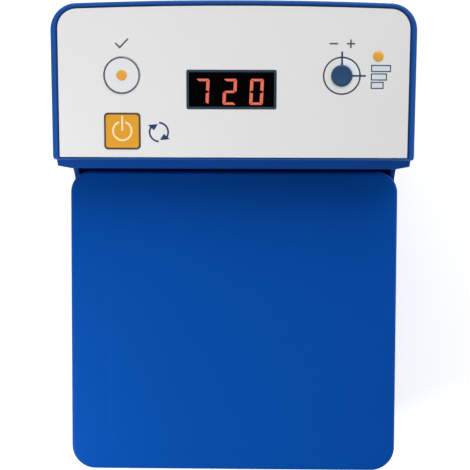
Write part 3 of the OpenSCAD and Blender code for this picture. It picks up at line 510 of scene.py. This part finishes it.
def cut(piece, cutters):
    """Cuts boxes, given as low and high corners in millimetres, out of a piece."""
    bm = bmesh.new()
    for low, high in cutters:
        bar(bm, low[0], low[1], high[0], high[1], low[2], high[2])
    bmesh.ops.transform(bm, matrix=Matrix.Scale(MM, 4), verts=bm.verts)
    mesh = bpy.data.meshes.new("cutter")
    bm.to_mesh(mesh)
    bm.free()
    cutter = bpy.data.objects.new("cutter", mesh)
    bpy.context.scene.collection.objects.link(cutter)
    modifier = piece.modifiers.new("Cut", "BOOLEAN")
    modifier.operation = "DIFFERENCE"
    modifier.solver = "EXACT"
    modifier.object = cutter
    finished = piece.evaluated_get(bpy.context.evaluated_depsgraph_get())
    shape = bpy.data.meshes.new_from_object(finished)
    piece.modifiers.remove(modifier)
    shape.name = piece.name
    piece.data = shape
    bpy.data.objects.remove(cutter)
    bpy.data.meshes.remove(mesh)


# ---------------------------------------------------------------- operators: frame nodes


NODE_FINISH = {
    "base_pan": "dark_panel", "feet": "foot_rubber", "foot_screws": "screw_steel",
    "housing_screws": "screw_steel", "housing_shell": "blue_housing",
    "heating_block": "block_aluminium", "heater_plate": "block_aluminium",
    "heater_mat": "heater_silicone", "insulation_jacket": "insulation",
    "insulation_board": "insulation", "block_surround": "black_plastic",
    "block_screws": "screw_steel", "temperature_probe": "screw_steel",
    "thermal_cutout": "ceramic_body", "hinge_brackets": "hinge_steel",
    "hinge_pins": "hinge_steel", "bracket_screws": "screw_steel", "hinge_lugs": "hinge_steel",
    "lug_screws": "screw_steel", "lid_liner": "liner_metal", "lid_insulation": "insulation",
    "lid_gasket": "gasket_rubber", "liner_screws": "screw_steel", "power_board": "circuit_board",
    "board_spacers": "spacer_plastic", "transformer": "transformer_core", "relay": "relay_blue",
    "filter_capacitor": "capacitor_film", "terminal_block": "terminal_green",
    "triac_heatsink": "heatsink", "rear_panel": "dark_panel", "rear_screws": "screw_steel",
    "mains_inlet": "black_plastic", "inlet_pins": "pin_brass", "fuse_drawer": "black_plastic",
    "console_tray": "blue_housing", "console_bezel": "blue_bezel", "console_screws": "screw_steel",
    "front_panel": "white_panel", "control_board": "circuit_board",
    "panel_spacers": "spacer_metal", "display_module": "black_plastic",
    "key_switches": "black_plastic", "cal_potentiometer": "relay_blue",
    "ribbon_cable": "cable_grey", "heater_leads": "lead_red", "mains_leads": "lead_brown",
}

# How far each outer moulding's edges are eased, in millimetres
EASED_NODES = {
    "housing_shell": 0.7, "console_tray": 0.5, "front_panel": 0.15,
    "base_pan": 0.4, "rear_panel": 0.35, "mains_inlet": 0.4, "fuse_drawer": 0.3, "feet": 0.3,
    "block_surround": 0.4, "hinge_brackets": 0.25, "hinge_lugs": 0.25, "lid_liner": 0.3,
}
# Angles in degrees: corners from this one up are eased, and faces flatter than this one are joined
EASE_ANGLE, FLAT_ANGLE = 40, 0.5


class HEATER_OT_frame_finish(bpy.types.Operator):
    """Gives every node of the frame its finish and eases the edges of the outer mouldings"""

    bl_idname = "heater.frame_finish"
    bl_label = "Frame finish"

    def execute(self, context):
        for name, key in NODE_FINISH.items():
            node = frame["nodes"][name]
            node.data.materials.clear()
            node.data.materials.append(MATERIALS[key])
            for face in node.data.polygons:
                face.material_index = 0
        for name, width in EASED_NODES.items():
            node = frame["nodes"][name]
            bm = bmesh.new()
            bm.from_mesh(node.data)
            bmesh.ops.transform(bm, matrix=Matrix.Scale(1 / MM, 4), verts=bm.verts)
            bmesh.ops.remove_doubles(bm, verts=bm.verts, dist=0.002)
            bmesh.ops.dissolve_limit(
                bm, angle_limit=math.radians(FLAT_ANGLE), verts=bm.verts, edges=bm.edges)
            eased = finish_piece(name + "_eased", bm, node["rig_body"],
                                 NODE_FINISH[name], sharp=EASE_ANGLE)
            ease = eased.modifiers.new("Eased edges", "BEVEL")
            ease.width = width * MM
            ease.segments = 3
            ease.limit_method = "ANGLE"
            ease.angle_limit = math.radians(EASE_ANGLE)
            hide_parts(name)
        return {"FINISHED"}


# ---------------------------------------------------------------- operators: lid


# Plan and section of the lid, in millimetres
LID_FRONT_R, LID_REAR_R, LID_WALL = 12.0, 10.5, 2.5
LID_RIM_EASE = 0.6
FIELD_R, FIELD_REAR_GAP, FIELD_SLOPE, FIELD_STEPS = 13, 4, 3.6, 4
# Notches in the rear rim that clear the hinges
NOTCH_HALF, NOTCH_DEPTH, BRACKET_HALF = 12.3, 5, 10.3


class HEATER_OT_lid(bpy.types.Operator):
    """Makes the lid's shell: rounded rim, soft top edge and a slightly raised field"""

    bl_idname = "heater.lid"
    bl_label = "Lid"

    def execute(self, context):
        low, high = box_mm("lid_shell")
        width = high.x - low.x
        field_rise, field_width, field_margin = (
            size_mm("field_" + part) for part in ("rise", "width", "margin"))
        top = high.z - field_rise

        def outer(inset, z):
            return rounded(width - 2 * inset, low.y + inset, high.y - inset, LID_FRONT_R - inset,
                           LID_REAR_R - inset, steps=12), z

        def field(inset, z):
            return rounded(field_width - 2 * inset, low.y + field_margin + inset,
                           high.y - FIELD_REAR_GAP - inset, FIELD_R - inset, steps=12), z

        sections = [outer(LID_WALL, top - LID_WALL), outer(LID_WALL, low.z + LID_RIM_EASE),
                    outer(LID_WALL - LID_RIM_EASE, low.z), outer(LID_RIM_EASE, low.z),
                    outer(0.0, low.z + LID_RIM_EASE)]
        sections += [outer(inset, top - drop) for inset, drop in quarter(size_mm("lid_edge"), 6)]
        for step in range(FIELD_STEPS + 1):
            share = step / FIELD_STEPS
            rise = field_rise * (3 * share ** 2 - 2 * share ** 3)
            sections.append(field(FIELD_SLOPE * share, top + rise))
        bm = bmesh.new()
        loft(bm, sections)
        shell = finish_piece("lid_skin", bm, "lid", "blue_lid", sharp=50)
        bracket_high = box_mm("hinge_brackets")[1]
        cutters = []
        for side in (-1, 1):
            middle = side * (bracket_high.x - BRACKET_HALF)
            cutters.append(((middle - NOTCH_HALF, high.y - NOTCH_DEPTH, low.z - 1),
                            (middle + NOTCH_HALF, high.y + NOTCH_DEPTH, top - LID_WALL)))
        cut(shell, cutters)
        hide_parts("lid_shell")
        return {"FINISHED"}


# ---------------------------------------------------------------- operators: bezel


# Outline of the console, and the width of each rail of its bezel, in millimetres
CONSOLE_DEPTH = 74.4
CONSOLE_REAR_R = 12.5
CONSOLE_FRONT_R = 1.6
BOW_R = 2000.0
RAIL = {"side": 3.25, "rear": 2.45, "front": 1.15}
# Section of a rail: the share of its width, and the height over the panel's datum
BEAD = ((0.0, -1.2), (0.02, -0.8), (0.08, -0.42), (0.2, -0.15), (0.34, -0.03), (0.46, 0.0),
        (0.56, -0.05), (0.64, -0.25), (0.74, -0.8), (0.86, -1.45), (0.95, -1.85), (1.0, -2.0))
BEZEL_UNDER, PANEL_SEAT, PANEL_LEDGE = -4.5, -2.2, 2.45


def console_outline(inset, front, rear, front_r, steps=10):
    """The console's outline: small front corners, round rear corners and a bowed rear edge."""
    low, high = box_mm("console_bezel")
    half, radius, bow = (high.x - low.x) / 2 - inset, CONSOLE_REAR_R - inset, BOW_R - rear
    x, bow_y = half - radius, CONSOLE_DEPTH - BOW_R
    y = bow_y + math.sqrt((bow - radius) ** 2 - x * x)
    lean = math.acos(x / (bow - radius))
    return (arc((x, y), radius, 0, lean, steps)
            + arc((0, bow_y), bow, lean, math.pi - lean, 24)[1:-1]
            + arc((-x, y), radius, math.pi - lean, math.pi, steps)
            + arc((-half + front_r, front + front_r), front_r, math.pi, 1.5 * math.pi, 6)
            + arc((half - front_r, front + front_r), front_r, 1.5 * math.pi, 2 * math.pi, 6))


class HEATER_OT_bezel(bpy.types.Operator):
    """Makes the bezel round the panel, with a rounded bead along every rail"""

    bl_idname = "heater.bezel"
    bl_label = "Bezel"

    def execute(self, context):
        def at(share, z, more=0.0):
            side, rear, front = (RAIL[k] * share + more for k in ("side", "rear", "front"))
            return console_outline(side, front, rear, max(CONSOLE_FRONT_R - front, 0.3)), z

        sections = [at(0.0, BEZEL_UNDER)] + [at(share, z) for share, z in BEAD]
        sections += [at(1.0, PANEL_SEAT), at(1.0, PANEL_SEAT, PANEL_LEDGE),
                     at(1.0, BEZEL_UNDER, PANEL_LEDGE), at(0.0, BEZEL_UNDER)]
        bm = bmesh.new()
        loft(bm, sections, False, False)
        close_seams(bm)
        bezel = finish_piece("bezel_frame", bm, "housing", "blue_bezel", PANEL, 50)
        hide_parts("console_bezel")
        return {"FINISHED"}


# ---------------------------------------------------------------- operators: panel


SET_AT = panel_place("set_key", 39.7)
POWER_AT = panel_place("power_key", 13.6)
WINDOW_AT = panel_place("display_window", 33.2)
DIAL_AT = panel_place("cal_dial", DIAL_UP)
LEVEL_AT = panel_place("level_lamp", 48.7)
PANEL_TOP = -0.4

# Printed marks, in millimetres. The dial has a ring, two end marks and a quadrant between them.
RING_OUTER, RING_INNER = 8.85, 8.15
MARK_START, MARK_END, MARK_HALF = 4.9, 11.2, 0.41
QUADRANT_OUTER, QUADRANT_INNER = 8.2, 5.0
# Width of each level bar, and its height up the panel
LEVEL_BARS = ((9.3, 43.1), (7.5, 39.2), (6.0, 35.3))
LEVEL_BAR_DEPTH, LEVEL_BAR_LINE, LEVEL_BAR_START = 3.3, 0.5, -3.3
# The two arrows: their middle, the arc's radius, half its width and the angles of its ends
ARROWS_ASIDE, ARROWS_UP, ARROWS_R, ARROWS_HALF = 17.3, 13.2, 4.4, 0.42
ARROWS_START, ARROWS_END = 88, -42
# Corners of an arrow's head, as an added radius and a turn past the arc's end
ARROW_HEAD = ((-0.6, -0.72), (1.7, 0.16), (-2.0, 0.40))
SIGNS_UP, SIGN_HALF = 54.5, 0.36
TICK = ((-2.6, -0.1), (-0.8, -1.9), (2.9, 1.9))
TRIM_ASIDE, TRIM_REACH = 4.0, 1.6


def printed(name, bm, material, body="housing"):
    return finish_piece(name, bm, body, material, PANEL)


def ring_band(bm, centre, outer_r, inner_r, start, end, steps, z0, z1):
    """A printed band between two arcs."""
    outer, inner = (arc(centre, r, start, end, steps) for r in (outer_r, inner_r))
    plate(bm, outer + inner[::-1], z0, z1)


def stroke(bm, points, half, z0, z1):
    """A printed line of even width through its points."""
    for start, end in zip(points, points[1:]):
        a, b = Vector(start), Vector(end)
        along = (b - a).normalized() * half
        across = Vector((-along.y, along.x))
        corners = (a - along + across, a - along - across, b + along - across, b + along + across)
        plate(bm, corners, z0, z1)


class HEATER_OT_panel_print(bpy.types.Operator):
    """Prints the rings, lines, bars, arrows and plain signs on the panel"""

    bl_idname = "heater.panel_print"
    bl_label = "Panel print"

    def execute(self, context):
        thick = size_mm("print_thickness")
        bottom, top, low_top = PANEL_TOP, PANEL_TOP + thick, PANEL_TOP + thick / 2
        self.print_dial(bottom, top, low_top)
        self.print_bars(bottom, top, low_top)
        self.print_arrows(bottom, top)
        self.print_signs(bottom, top)
        return {"FINISHED"}

    def print_dial(self, bottom, top, low_top):
        x, y = DIAL_AT
        bm = bmesh.new()
        annulus(bm, RING_OUTER, RING_INNER, bottom, top, x, y)
        printed("dial_ring", bm, "print_ink")
        bm = bmesh.new()
        bar(bm, x - MARK_HALF, y + MARK_START, x + MARK_HALF, y + MARK_END, bottom, top)
        bar(bm, x + MARK_START, y - MARK_HALF, x + MARK_END, y + MARK_HALF, bottom, top)
        printed("dial_scale", bm, "print_navy")
        bm = bmesh.new()
        ring_band(bm, DIAL_AT, QUADRANT_OUTER, QUADRANT_INNER, 0, math.pi / 2, 20, bottom, low_top)
        printed("dial_quadrant", bm, "print_ice")

    def print_bars(self, bottom, top, low_top):
        frame_bm, fill_bm = bmesh.new(), bmesh.new()
        depth, line = LEVEL_BAR_DEPTH, LEVEL_BAR_LINE
        for width, y in LEVEL_BARS:
            x = LEVEL_AT.x + LEVEL_BAR_START + width / 2
            border(frame_bm, width, depth, 0.1, line, bottom, top, x, y)
            slab(fill_bm, width - 2 * line, depth - 2 * line, 0.1, bottom, low_top, 0.0, x, y)
        printed("level_bar_frames", frame_bm, "print_ink")
        printed("level_bar_fills", fill_bm, "print_pale")

    def print_arrows(self, bottom, top):
        """Two arrows that chase each other round a circle."""
        bm = bmesh.new()
        cx, cy = POWER_AT.x + ARROWS_ASIDE, ARROWS_UP
        for turn in (0, math.pi):
            start, end = math.radians(ARROWS_START) + turn, math.radians(ARROWS_END) + turn
            ring_band(bm, (cx, cy), ARROWS_R + ARROWS_HALF, ARROWS_R - ARROWS_HALF, start, end, 20,
                      bottom, top)
            head = [(cx + (ARROWS_R + r) * math.cos(end + a),
                     cy + (ARROWS_R + r) * math.sin(end + a)) for r, a in ARROW_HEAD]
            plate(bm, head, bottom, top)
        printed("cycle_arrows", bm, "print_navy")

    def print_signs(self, bottom, top):
        """A tick over the round key, a minus and a plus over the dial."""
        bm = bmesh.new()
        y = SIGNS_UP
        stroke(bm, [(SET_AT.x + across, y + up) for across, up in TICK], SIGN_HALF, bottom, top)
        printed("tick_sign", bm, "print_grey")
        bm = bmesh.new()
        minus, plus = DIAL_AT.x - TRIM_ASIDE, DIAL_AT.x + TRIM_ASIDE
        for x in (minus, plus):
            stroke(bm, [(x - TRIM_REACH, y), (x + TRIM_REACH, y)], SIGN_HALF, bottom, top)
        for way in (-1, 1):
            arm = [(plus, y + way * TRIM_REACH), (plus, y + way * 2 * SIGN_HALF)]
            stroke(bm, arm, SIGN_HALF, bottom, top)
        printed("trim_signs", bm, "print_grey")


# Heights of both keys under the panel's datum, in millimetres
KEY_UNDER, KEY_TOP, FLANGE_H = -3.5, -0.1, 1.2
FLANGE_TOP = KEY_UNDER + FLANGE_H
LENS_SEAT = KEY_TOP - 0.5
# Turned profiles, as (radius, height)
SET_KEY = ((0, KEY_UNDER), (9.55, KEY_UNDER), (9.55, FLANGE_TOP), (8.55, FLANGE_TOP),
           (8.55, KEY_TOP - 0.35), (8.45, KEY_TOP - 0.1), (8.2, KEY_TOP), (7.0, KEY_TOP - 0.02),
           (2.5, KEY_TOP - 0.06), (2.46, LENS_SEAT), (0, LENS_SEAT))
SET_LENS = ((0, LENS_SEAT), (2.44, LENS_SEAT), (2.44, KEY_TOP - 0.05), (2.2, KEY_TOP + 0.06),
            (1.2, KEY_TOP + 0.12), (0, KEY_TOP + 0.14))
DIAL = ((0, -2.6), (4.8, -2.6), (4.8, 0.15), (4.7, 0.32), (4.45, 0.42), (3.6, 0.44), (3.4, 0.36),
        (0, 0.34))
LEVEL_LENS = ((0, -10.4), (2.45, -10.4), (2.45, -0.35), (2.3, -0.2), (1.4, 0.02), (0, 0.1))
SET_RING_OUTER, SET_RING_INNER, SET_RING_SUNK = 8.45, 7.93, 0.2
# Side and corner radius of the square key's body, flange and face
POWER_BODY, POWER_FLANGE, POWER_FACE = (16.9, 1.7), (18.7, 2.0), (15.5, 1.2)
# The power mark: radius, half width, half its opening in degrees and the bar's length
MARK_R, MARK_LINE, MARK_OPEN, MARK_BAR = 4.38, 0.44, 20, 7.0


class HEATER_OT_keys(bpy.types.Operator):
    """Makes the round set key with its lamp, the amber power key, the dial and the level lamp"""

    bl_idname = "heater.keys"
    bl_label = "Keys, dial and lamps"

    def execute(self, context):
        thick = size_mm("print_thickness")
        key = self.turned("set_key_cap", SET_KEY, SET_AT, 96, "set_key", "key_white", 40)
        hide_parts("set_key")
        bm = bmesh.new()
        annulus(bm, SET_RING_OUTER, SET_RING_INNER, KEY_TOP - SET_RING_SUNK, KEY_TOP + thick / 2,
                SET_AT.x, SET_AT.y)
        finish_piece("set_key_ring", bm, "set_key", "print_ink", PANEL)
        lens = self.turned("set_key_lens", SET_LENS, SET_AT, 64, "set_key", "lamp_amber", 60)
        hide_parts("set_lamp")
        self.add_power_key(thick)
        dial = self.turned("dial_cap", DIAL, DIAL_AT, 72, "cal_dial", "dial_navy", 45)
        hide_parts("cal_dial")
        lamp = self.turned("level_lens", LEVEL_LENS, LEVEL_AT, 64, "housing", "lamp_amber", 60)
        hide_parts("level_lamp")
        return {"FINISHED"}

    def turned(self, name, profile, spot, segments, body, finish, sharp):
        """A piece turned round the normal of the panel at its place."""
        bm = bmesh.new()
        lathe(bm, profile, segments, spot.x, spot.y)
        return finish_piece(name, bm, body, finish, PANEL, sharp)

    def add_power_key(self, thick):
        """A brown body, an amber face let into it and a cream power mark."""
        x, y = POWER_AT
        bm = bmesh.new()
        side, radius = POWER_BODY
        slab(bm, side, side, radius, KEY_UNDER, KEY_TOP, 0.2, x, y)
        side, radius = POWER_FLANGE
        slab(bm, side, side, radius, KEY_UNDER, FLANGE_TOP, 0.0, x, y)
        key = finish_piece("power_key_cap", bm, "power_key", "print_brown", PANEL, 40)
        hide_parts("power_key")
        bm = bmesh.new()
        side, radius = POWER_FACE
        slab(bm, side, side, radius, KEY_TOP - 0.1, KEY_TOP + thick / 2, 0.0, x, y)
        finish_piece("power_key_face", bm, "power_key", "key_amber", PANEL)
        bm = bmesh.new()
        cy, gap, top = y + 0.1, math.radians(MARK_OPEN), KEY_TOP + thick
        ring_band(bm, (x, cy), MARK_R + MARK_LINE, MARK_R - MARK_LINE, math.pi / 2 + gap,
                  math.pi * 2.5 - gap, 60, KEY_TOP, top)
        bar(bm, x - MARK_LINE, cy, x + MARK_LINE, cy + MARK_BAR, KEY_TOP, top)
        finish_piece("power_mark", bm, "power_key", "print_cream", PANEL)


# The window, in millimetres: its size, corner radius, border and how far it stands proud
WINDOW_W, WINDOW_H, WINDOW_R, WINDOW_LINE, WINDOW_PROUD = 42.3, 18.3, 0.7, 1.1, 0.06
# Number shown, the middle of each digit across the window, and how far they lie below its middle
READING, DIGIT_MIDDLES, DIGITS_DOWN = "720", (-13.7, -0.8, 11.8), 1.05
DIGIT_SEGMENTS = {"7": "abc", "2": "abged", "0": "abcdef"}
# Half width of a digit, width of its upright and level segments, gap between them, lean in degrees
DIGIT_HALF, UPRIGHT_W, LEVEL_W, SEGMENT_GAP, DIGIT_LEAN = 3.2, 1.5, 1.15, 0.2, 2.5
# How far the outer corner is cut off, and where the mitre meets it
DIGIT_CORNER, MITRE_IN, MITRE_DOWN = 0.55, 0.3, 0.25


class HEATER_OT_readout(bpy.types.Operator):
    """Makes the dark window with its border and three lit seven-segment digits"""

    bl_idname = "heater.readout"
    bl_label = "Readout"

    def execute(self, context):
        x, y = WINDOW_AT
        z0 = PANEL_TOP + WINDOW_PROUD
        z1 = z0 + size_mm("print_thickness")
        bm = bmesh.new()
        slab(bm, WINDOW_W, WINDOW_H, WINDOW_R, PANEL_TOP - 1.0, z0, WINDOW_PROUD, x, y)
        window = finish_piece("window_pane", bm, "housing", "window_dark", PANEL)
        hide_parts("display_window")
        bm = bmesh.new()
        border(bm, WINDOW_W, WINDOW_H, WINDOW_R, WINDOW_LINE, z0, z1, x, y)
        printed("window_border", bm, "border_navy")
        bm = bmesh.new()
        for digit, middle in zip(READING, DIGIT_MIDDLES):
            self.add_digit(bm, digit, x + middle, y - DIGITS_DOWN, z0, z1)
        printed("lit_digits", bm, "digit_red")
        return {"FINISHED"}

    def add_digit(self, bm, digit, cx, cy, z0, z1):
        """Seven segments with mitred corners, from three outlines turned over."""
        w, h, gap = DIGIT_HALF, size_mm("digit_height") / 2, SEGMENT_GAP
        inner, shoulder, half = w - UPRIGHT_W, h - LEVEL_W, LEVEL_W / 2
        corner, mitre_x, mitre_y = DIGIT_CORNER, w - MITRE_IN, h - MITRE_DOWN
        lean = math.tan(math.radians(DIGIT_LEAN))
        top = [(corner - w, h), (w - corner, h), (mitre_x, mitre_y), (inner - gap / 2, shoulder),
               (gap / 2 - inner, shoulder), (-mitre_x, mitre_y)]
        side = [(w - 0.1, h - corner), (w, h - 0.9), (w, gap), (inner, half + gap),
                (inner, shoulder - gap), (mitre_x, mitre_y - gap)]
        dash = [(w - 0.4, 0), (inner, half), (-inner, half), (0.4 - w, 0), (-inner, -half),
                (inner, -half)]
        shapes = {
            "a": (top, 1, 1), "b": (side, 1, 1), "c": (side, 1, -1), "d": (top, 1, -1),
            "e": (side, -1, -1), "f": (side, -1, 1), "g": (dash, 1, 1),
        }
        for segment in DIGIT_SEGMENTS[digit]:
            outline, across, up = shapes[segment]
            points = [(cx + across * px + up * py * lean, cy + up * py) for px, py in outline]
            plate(bm, points, z0, z1)


# ---------------------------------------------------------------- operators: stage


# Camera: place over the object in metres, its lean, turn and roll in degrees, and its lens
CAMERA_X, CAMERA_FROM_REAR, CAMERA_Z = 8.46 * MM, 4.2 * MM, 0.589
CAMERA_LEAN, CAMERA_TURN, CAMERA_ROLL = -3.163, 0.885, 0.268
CAMERA_LENS = 76.765
# Lamps: name, place, target, size in metres, power in watts
LAMPS = (
    ("key_light", (0.14, 0.83, 0.64), (0, -0.02, 0.08), 0.95, 7.2),
    ("fill_light", (-0.28, -0.19, 0.27), (-0.03, -0.10, 0.09), 0.25, 0.97),
)
FLOOR_HALF = 3.0
# Glow of the floor near the object and far from it, and the distances between them in metres
GLOW = (("From Min", 0.3), ("From Max", 1.6), ("To Min", 0.47), ("To Max", 0.75))
# Strength of the room over the height of a direction
ROOM = (("From Min", 0.25), ("From Max", 0.97), ("To Min", 0.80), ("To Max", 0.10))
ROOM_COLOUR = (0.97, 0.985, 1.0, 1)
ROOM_WALLS = (0.95, 0.20, 0.0)
WHITE = (1, 1, 1, 1)


class HEATER_OT_stage(bpy.types.Operator):
    """Sets the floor, the soft studio light, the world and the camera"""

    bl_idname = "heater.stage"
    bl_label = "Stage"

    def execute(self, context):
        scene = context.scene
        scene.view_settings.view_transform = "Standard"
        self.add_camera(scene)
        self.add_floor()
        self.add_world(scene)
        for lamp in LAMPS:
            self.add_lamp(*lamp)
        return {"FINISHED"}

    def add_camera(self, scene):
        camera = bpy.data.cameras.new("camera")
        camera.sensor_width = 36.0
        camera.lens = CAMERA_LENS
        camera.clip_start = 0.01
        holder = bpy.data.objects.new("camera", camera)
        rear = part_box("lid_shell")[1].y
        lean, turn, roll = (math.radians(a) for a in (CAMERA_LEAN, CAMERA_TURN, CAMERA_ROLL))
        spot = Vector((CAMERA_X, rear - CAMERA_FROM_REAR, CAMERA_Z))
        holder.matrix_world = (Matrix.Translation(spot) @ Matrix.Rotation(lean, 4, "X")
                               @ Matrix.Rotation(turn, 4, "Y") @ Matrix.Rotation(roll, 4, "Z"))
        scene.collection.objects.link(holder)
        scene.camera = holder

    def seen_rays(self, tree):
        """Is one for rays that show the room itself: camera, mirrored and transmitted ones."""
        path = tree.nodes.new("ShaderNodeLightPath")
        total = path.outputs["Is Camera Ray"]
        for ray in ("Is Glossy Ray", "Is Transmission Ray"):
            more = tree.nodes.new("ShaderNodeMath")
            more.operation = "MAXIMUM"
            tree.links.new(total, more.inputs[0])
            tree.links.new(path.outputs[ray], more.inputs[1])
            total = more.outputs[0]
        return total

    def fade(self, tree, source, values):
        """A smooth change from one level to another as the source grows."""
        level = tree.nodes.new("ShaderNodeMapRange")
        level.interpolation_type = "SMOOTHSTEP"
        for name, value in values:
            level.inputs[name].default_value = value
        tree.links.new(source, level.inputs["Value"])
        return level.outputs["Result"]

    def add_floor(self):
        bm = bmesh.new()
        bmesh.ops.create_grid(bm, x_segments=1, y_segments=1, size=FLOOR_HALF)
        mesh = bpy.data.meshes.new("floor")
        bm.to_mesh(mesh)
        bm.free()
        floor = bpy.data.objects.new("floor", mesh)
        bpy.context.scene.collection.objects.link(floor)
        material, tree, shader = new_material("Floor")
        shader.inputs["Base Color"].default_value = (0.8, 0.8, 0.8, 1)
        shader.inputs["Roughness"].default_value = 0.9
        glow = tree.nodes.new("ShaderNodeEmission")
        # The glow grows away from the object, where the lamps no longer reach the floor
        place = tree.nodes.new("ShaderNodeTexCoord")
        away = tree.nodes.new("ShaderNodeVectorMath")
        away.operation = "LENGTH"
        tree.links.new(place.outputs["Object"], away.inputs[0])
        tree.links.new(self.fade(tree, away.outputs["Value"], GLOW), glow.inputs["Strength"])
        both = tree.nodes.new("ShaderNodeAddShader")
        choose = tree.nodes.new("ShaderNodeMixShader")
        tree.links.new(shader.outputs[0], both.inputs[0])
        tree.links.new(glow.outputs[0], both.inputs[1])
        tree.links.new(self.seen_rays(tree), choose.inputs[0])
        tree.links.new(shader.outputs[0], choose.inputs[1])
        tree.links.new(both.outputs[0], choose.inputs[2])
        tree.links.new(choose.outputs[0], tree.nodes["Material Output"].inputs["Surface"])
        mesh.materials.append(material)

    def add_world(self, scene):
        world = bpy.data.worlds.new("Studio")
        world.use_nodes = True
        scene.world = world
        tree = world.node_tree
        room = tree.nodes["Background"]
        room.inputs["Color"].default_value = ROOM_COLOUR
        # The room is darker straight above, and its right and rear walls are brighter
        direction = tree.nodes.new("ShaderNodeTexCoord")
        parts = tree.nodes.new("ShaderNodeSeparateXYZ")
        tree.links.new(direction.outputs["Generated"], parts.inputs[0])
        level = self.fade(tree, parts.outputs["Z"], ROOM)
        walls = tree.nodes.new("ShaderNodeVectorMath")
        walls.operation = "DOT_PRODUCT"
        walls.inputs[1].default_value = ROOM_WALLS
        strength = tree.nodes.new("ShaderNodeMath")
        strength.operation = "MULTIPLY_ADD"
        tree.links.new(direction.outputs["Generated"], walls.inputs[0])
        tree.links.new(walls.outputs["Value"], strength.inputs[0])
        tree.links.new(level, strength.inputs[1])
        tree.links.new(level, strength.inputs[2])
        tree.links.new(strength.outputs[0], room.inputs["Strength"])
        white = tree.nodes.new("ShaderNodeBackground")
        white.inputs["Color"].default_value = WHITE
        white.inputs["Strength"].default_value = 1.0
        choose = tree.nodes.new("ShaderNodeMixShader")
        tree.links.new(self.seen_rays(tree), choose.inputs[0])
        tree.links.new(room.outputs[0], choose.inputs[1])
        tree.links.new(white.outputs[0], choose.inputs[2])
        tree.links.new(choose.outputs[0], tree.nodes["World Output"].inputs["Surface"])

    def add_lamp(self, name, spot, target, size, power):
        light = bpy.data.lights.new(name, "AREA")
        light.shape = "DISK"
        light.size = size
        light.energy = power
        holder = bpy.data.objects.new(name, light)
        holder.location = spot
        aim = Vector(target) - Vector(spot)
        holder.rotation_euler = aim.to_track_quat("-Z", "Y").to_euler()
        bpy.context.scene.collection.objects.link(holder)


# ---------------------------------------------------------------- panel and registration


OPERATORS = (
    HEATER_OT_stage, HEATER_OT_frame_finish, HEATER_OT_lid, HEATER_OT_bezel,
    HEATER_OT_panel_print, HEATER_OT_keys, HEATER_OT_readout,
)


class HEATER_PT_sidebar(bpy.types.Panel):
    """Lists the steps that dress the heater"""

    bl_idname = "HEATER_PT_sidebar"
    bl_label = "Block heater"
    bl_space_type = "VIEW_3D"
    bl_region_type = "UI"
    bl_category = "Block heater"

    def draw(self, context):
        for operator in OPERATORS:
            self.layout.operator(operator.bl_idname)
        for group in (context.scene.heater_sizes, context.scene.heater_colours):
            for name in group.__annotations__:
                self.layout.prop(group, name)


CLASSES = (HeaterSizes, HeaterColours, *OPERATORS, HEATER_PT_sidebar)


def register():
    for cls in CLASSES:
        bpy.utils.register_class(cls)
    bpy.types.Scene.heater_sizes = bpy.props.PointerProperty(type=HeaterSizes)
    bpy.types.Scene.heater_colours = bpy.props.PointerProperty(type=HeaterColours)


def unregister():
    del bpy.types.Scene.heater_sizes
    del bpy.types.Scene.heater_colours
    for cls in reversed(CLASSES):
        bpy.utils.unregister_class(cls)


def main():
    register()
    build_materials()
    bpy.ops.heater.stage()
    bpy.ops.heater.frame_finish()
    bpy.ops.heater.lid()
    bpy.ops.heater.bezel()
    bpy.ops.heater.panel_print()
    bpy.ops.heater.keys()
    bpy.ops.heater.readout()


if __name__ == "__main__":
    main()
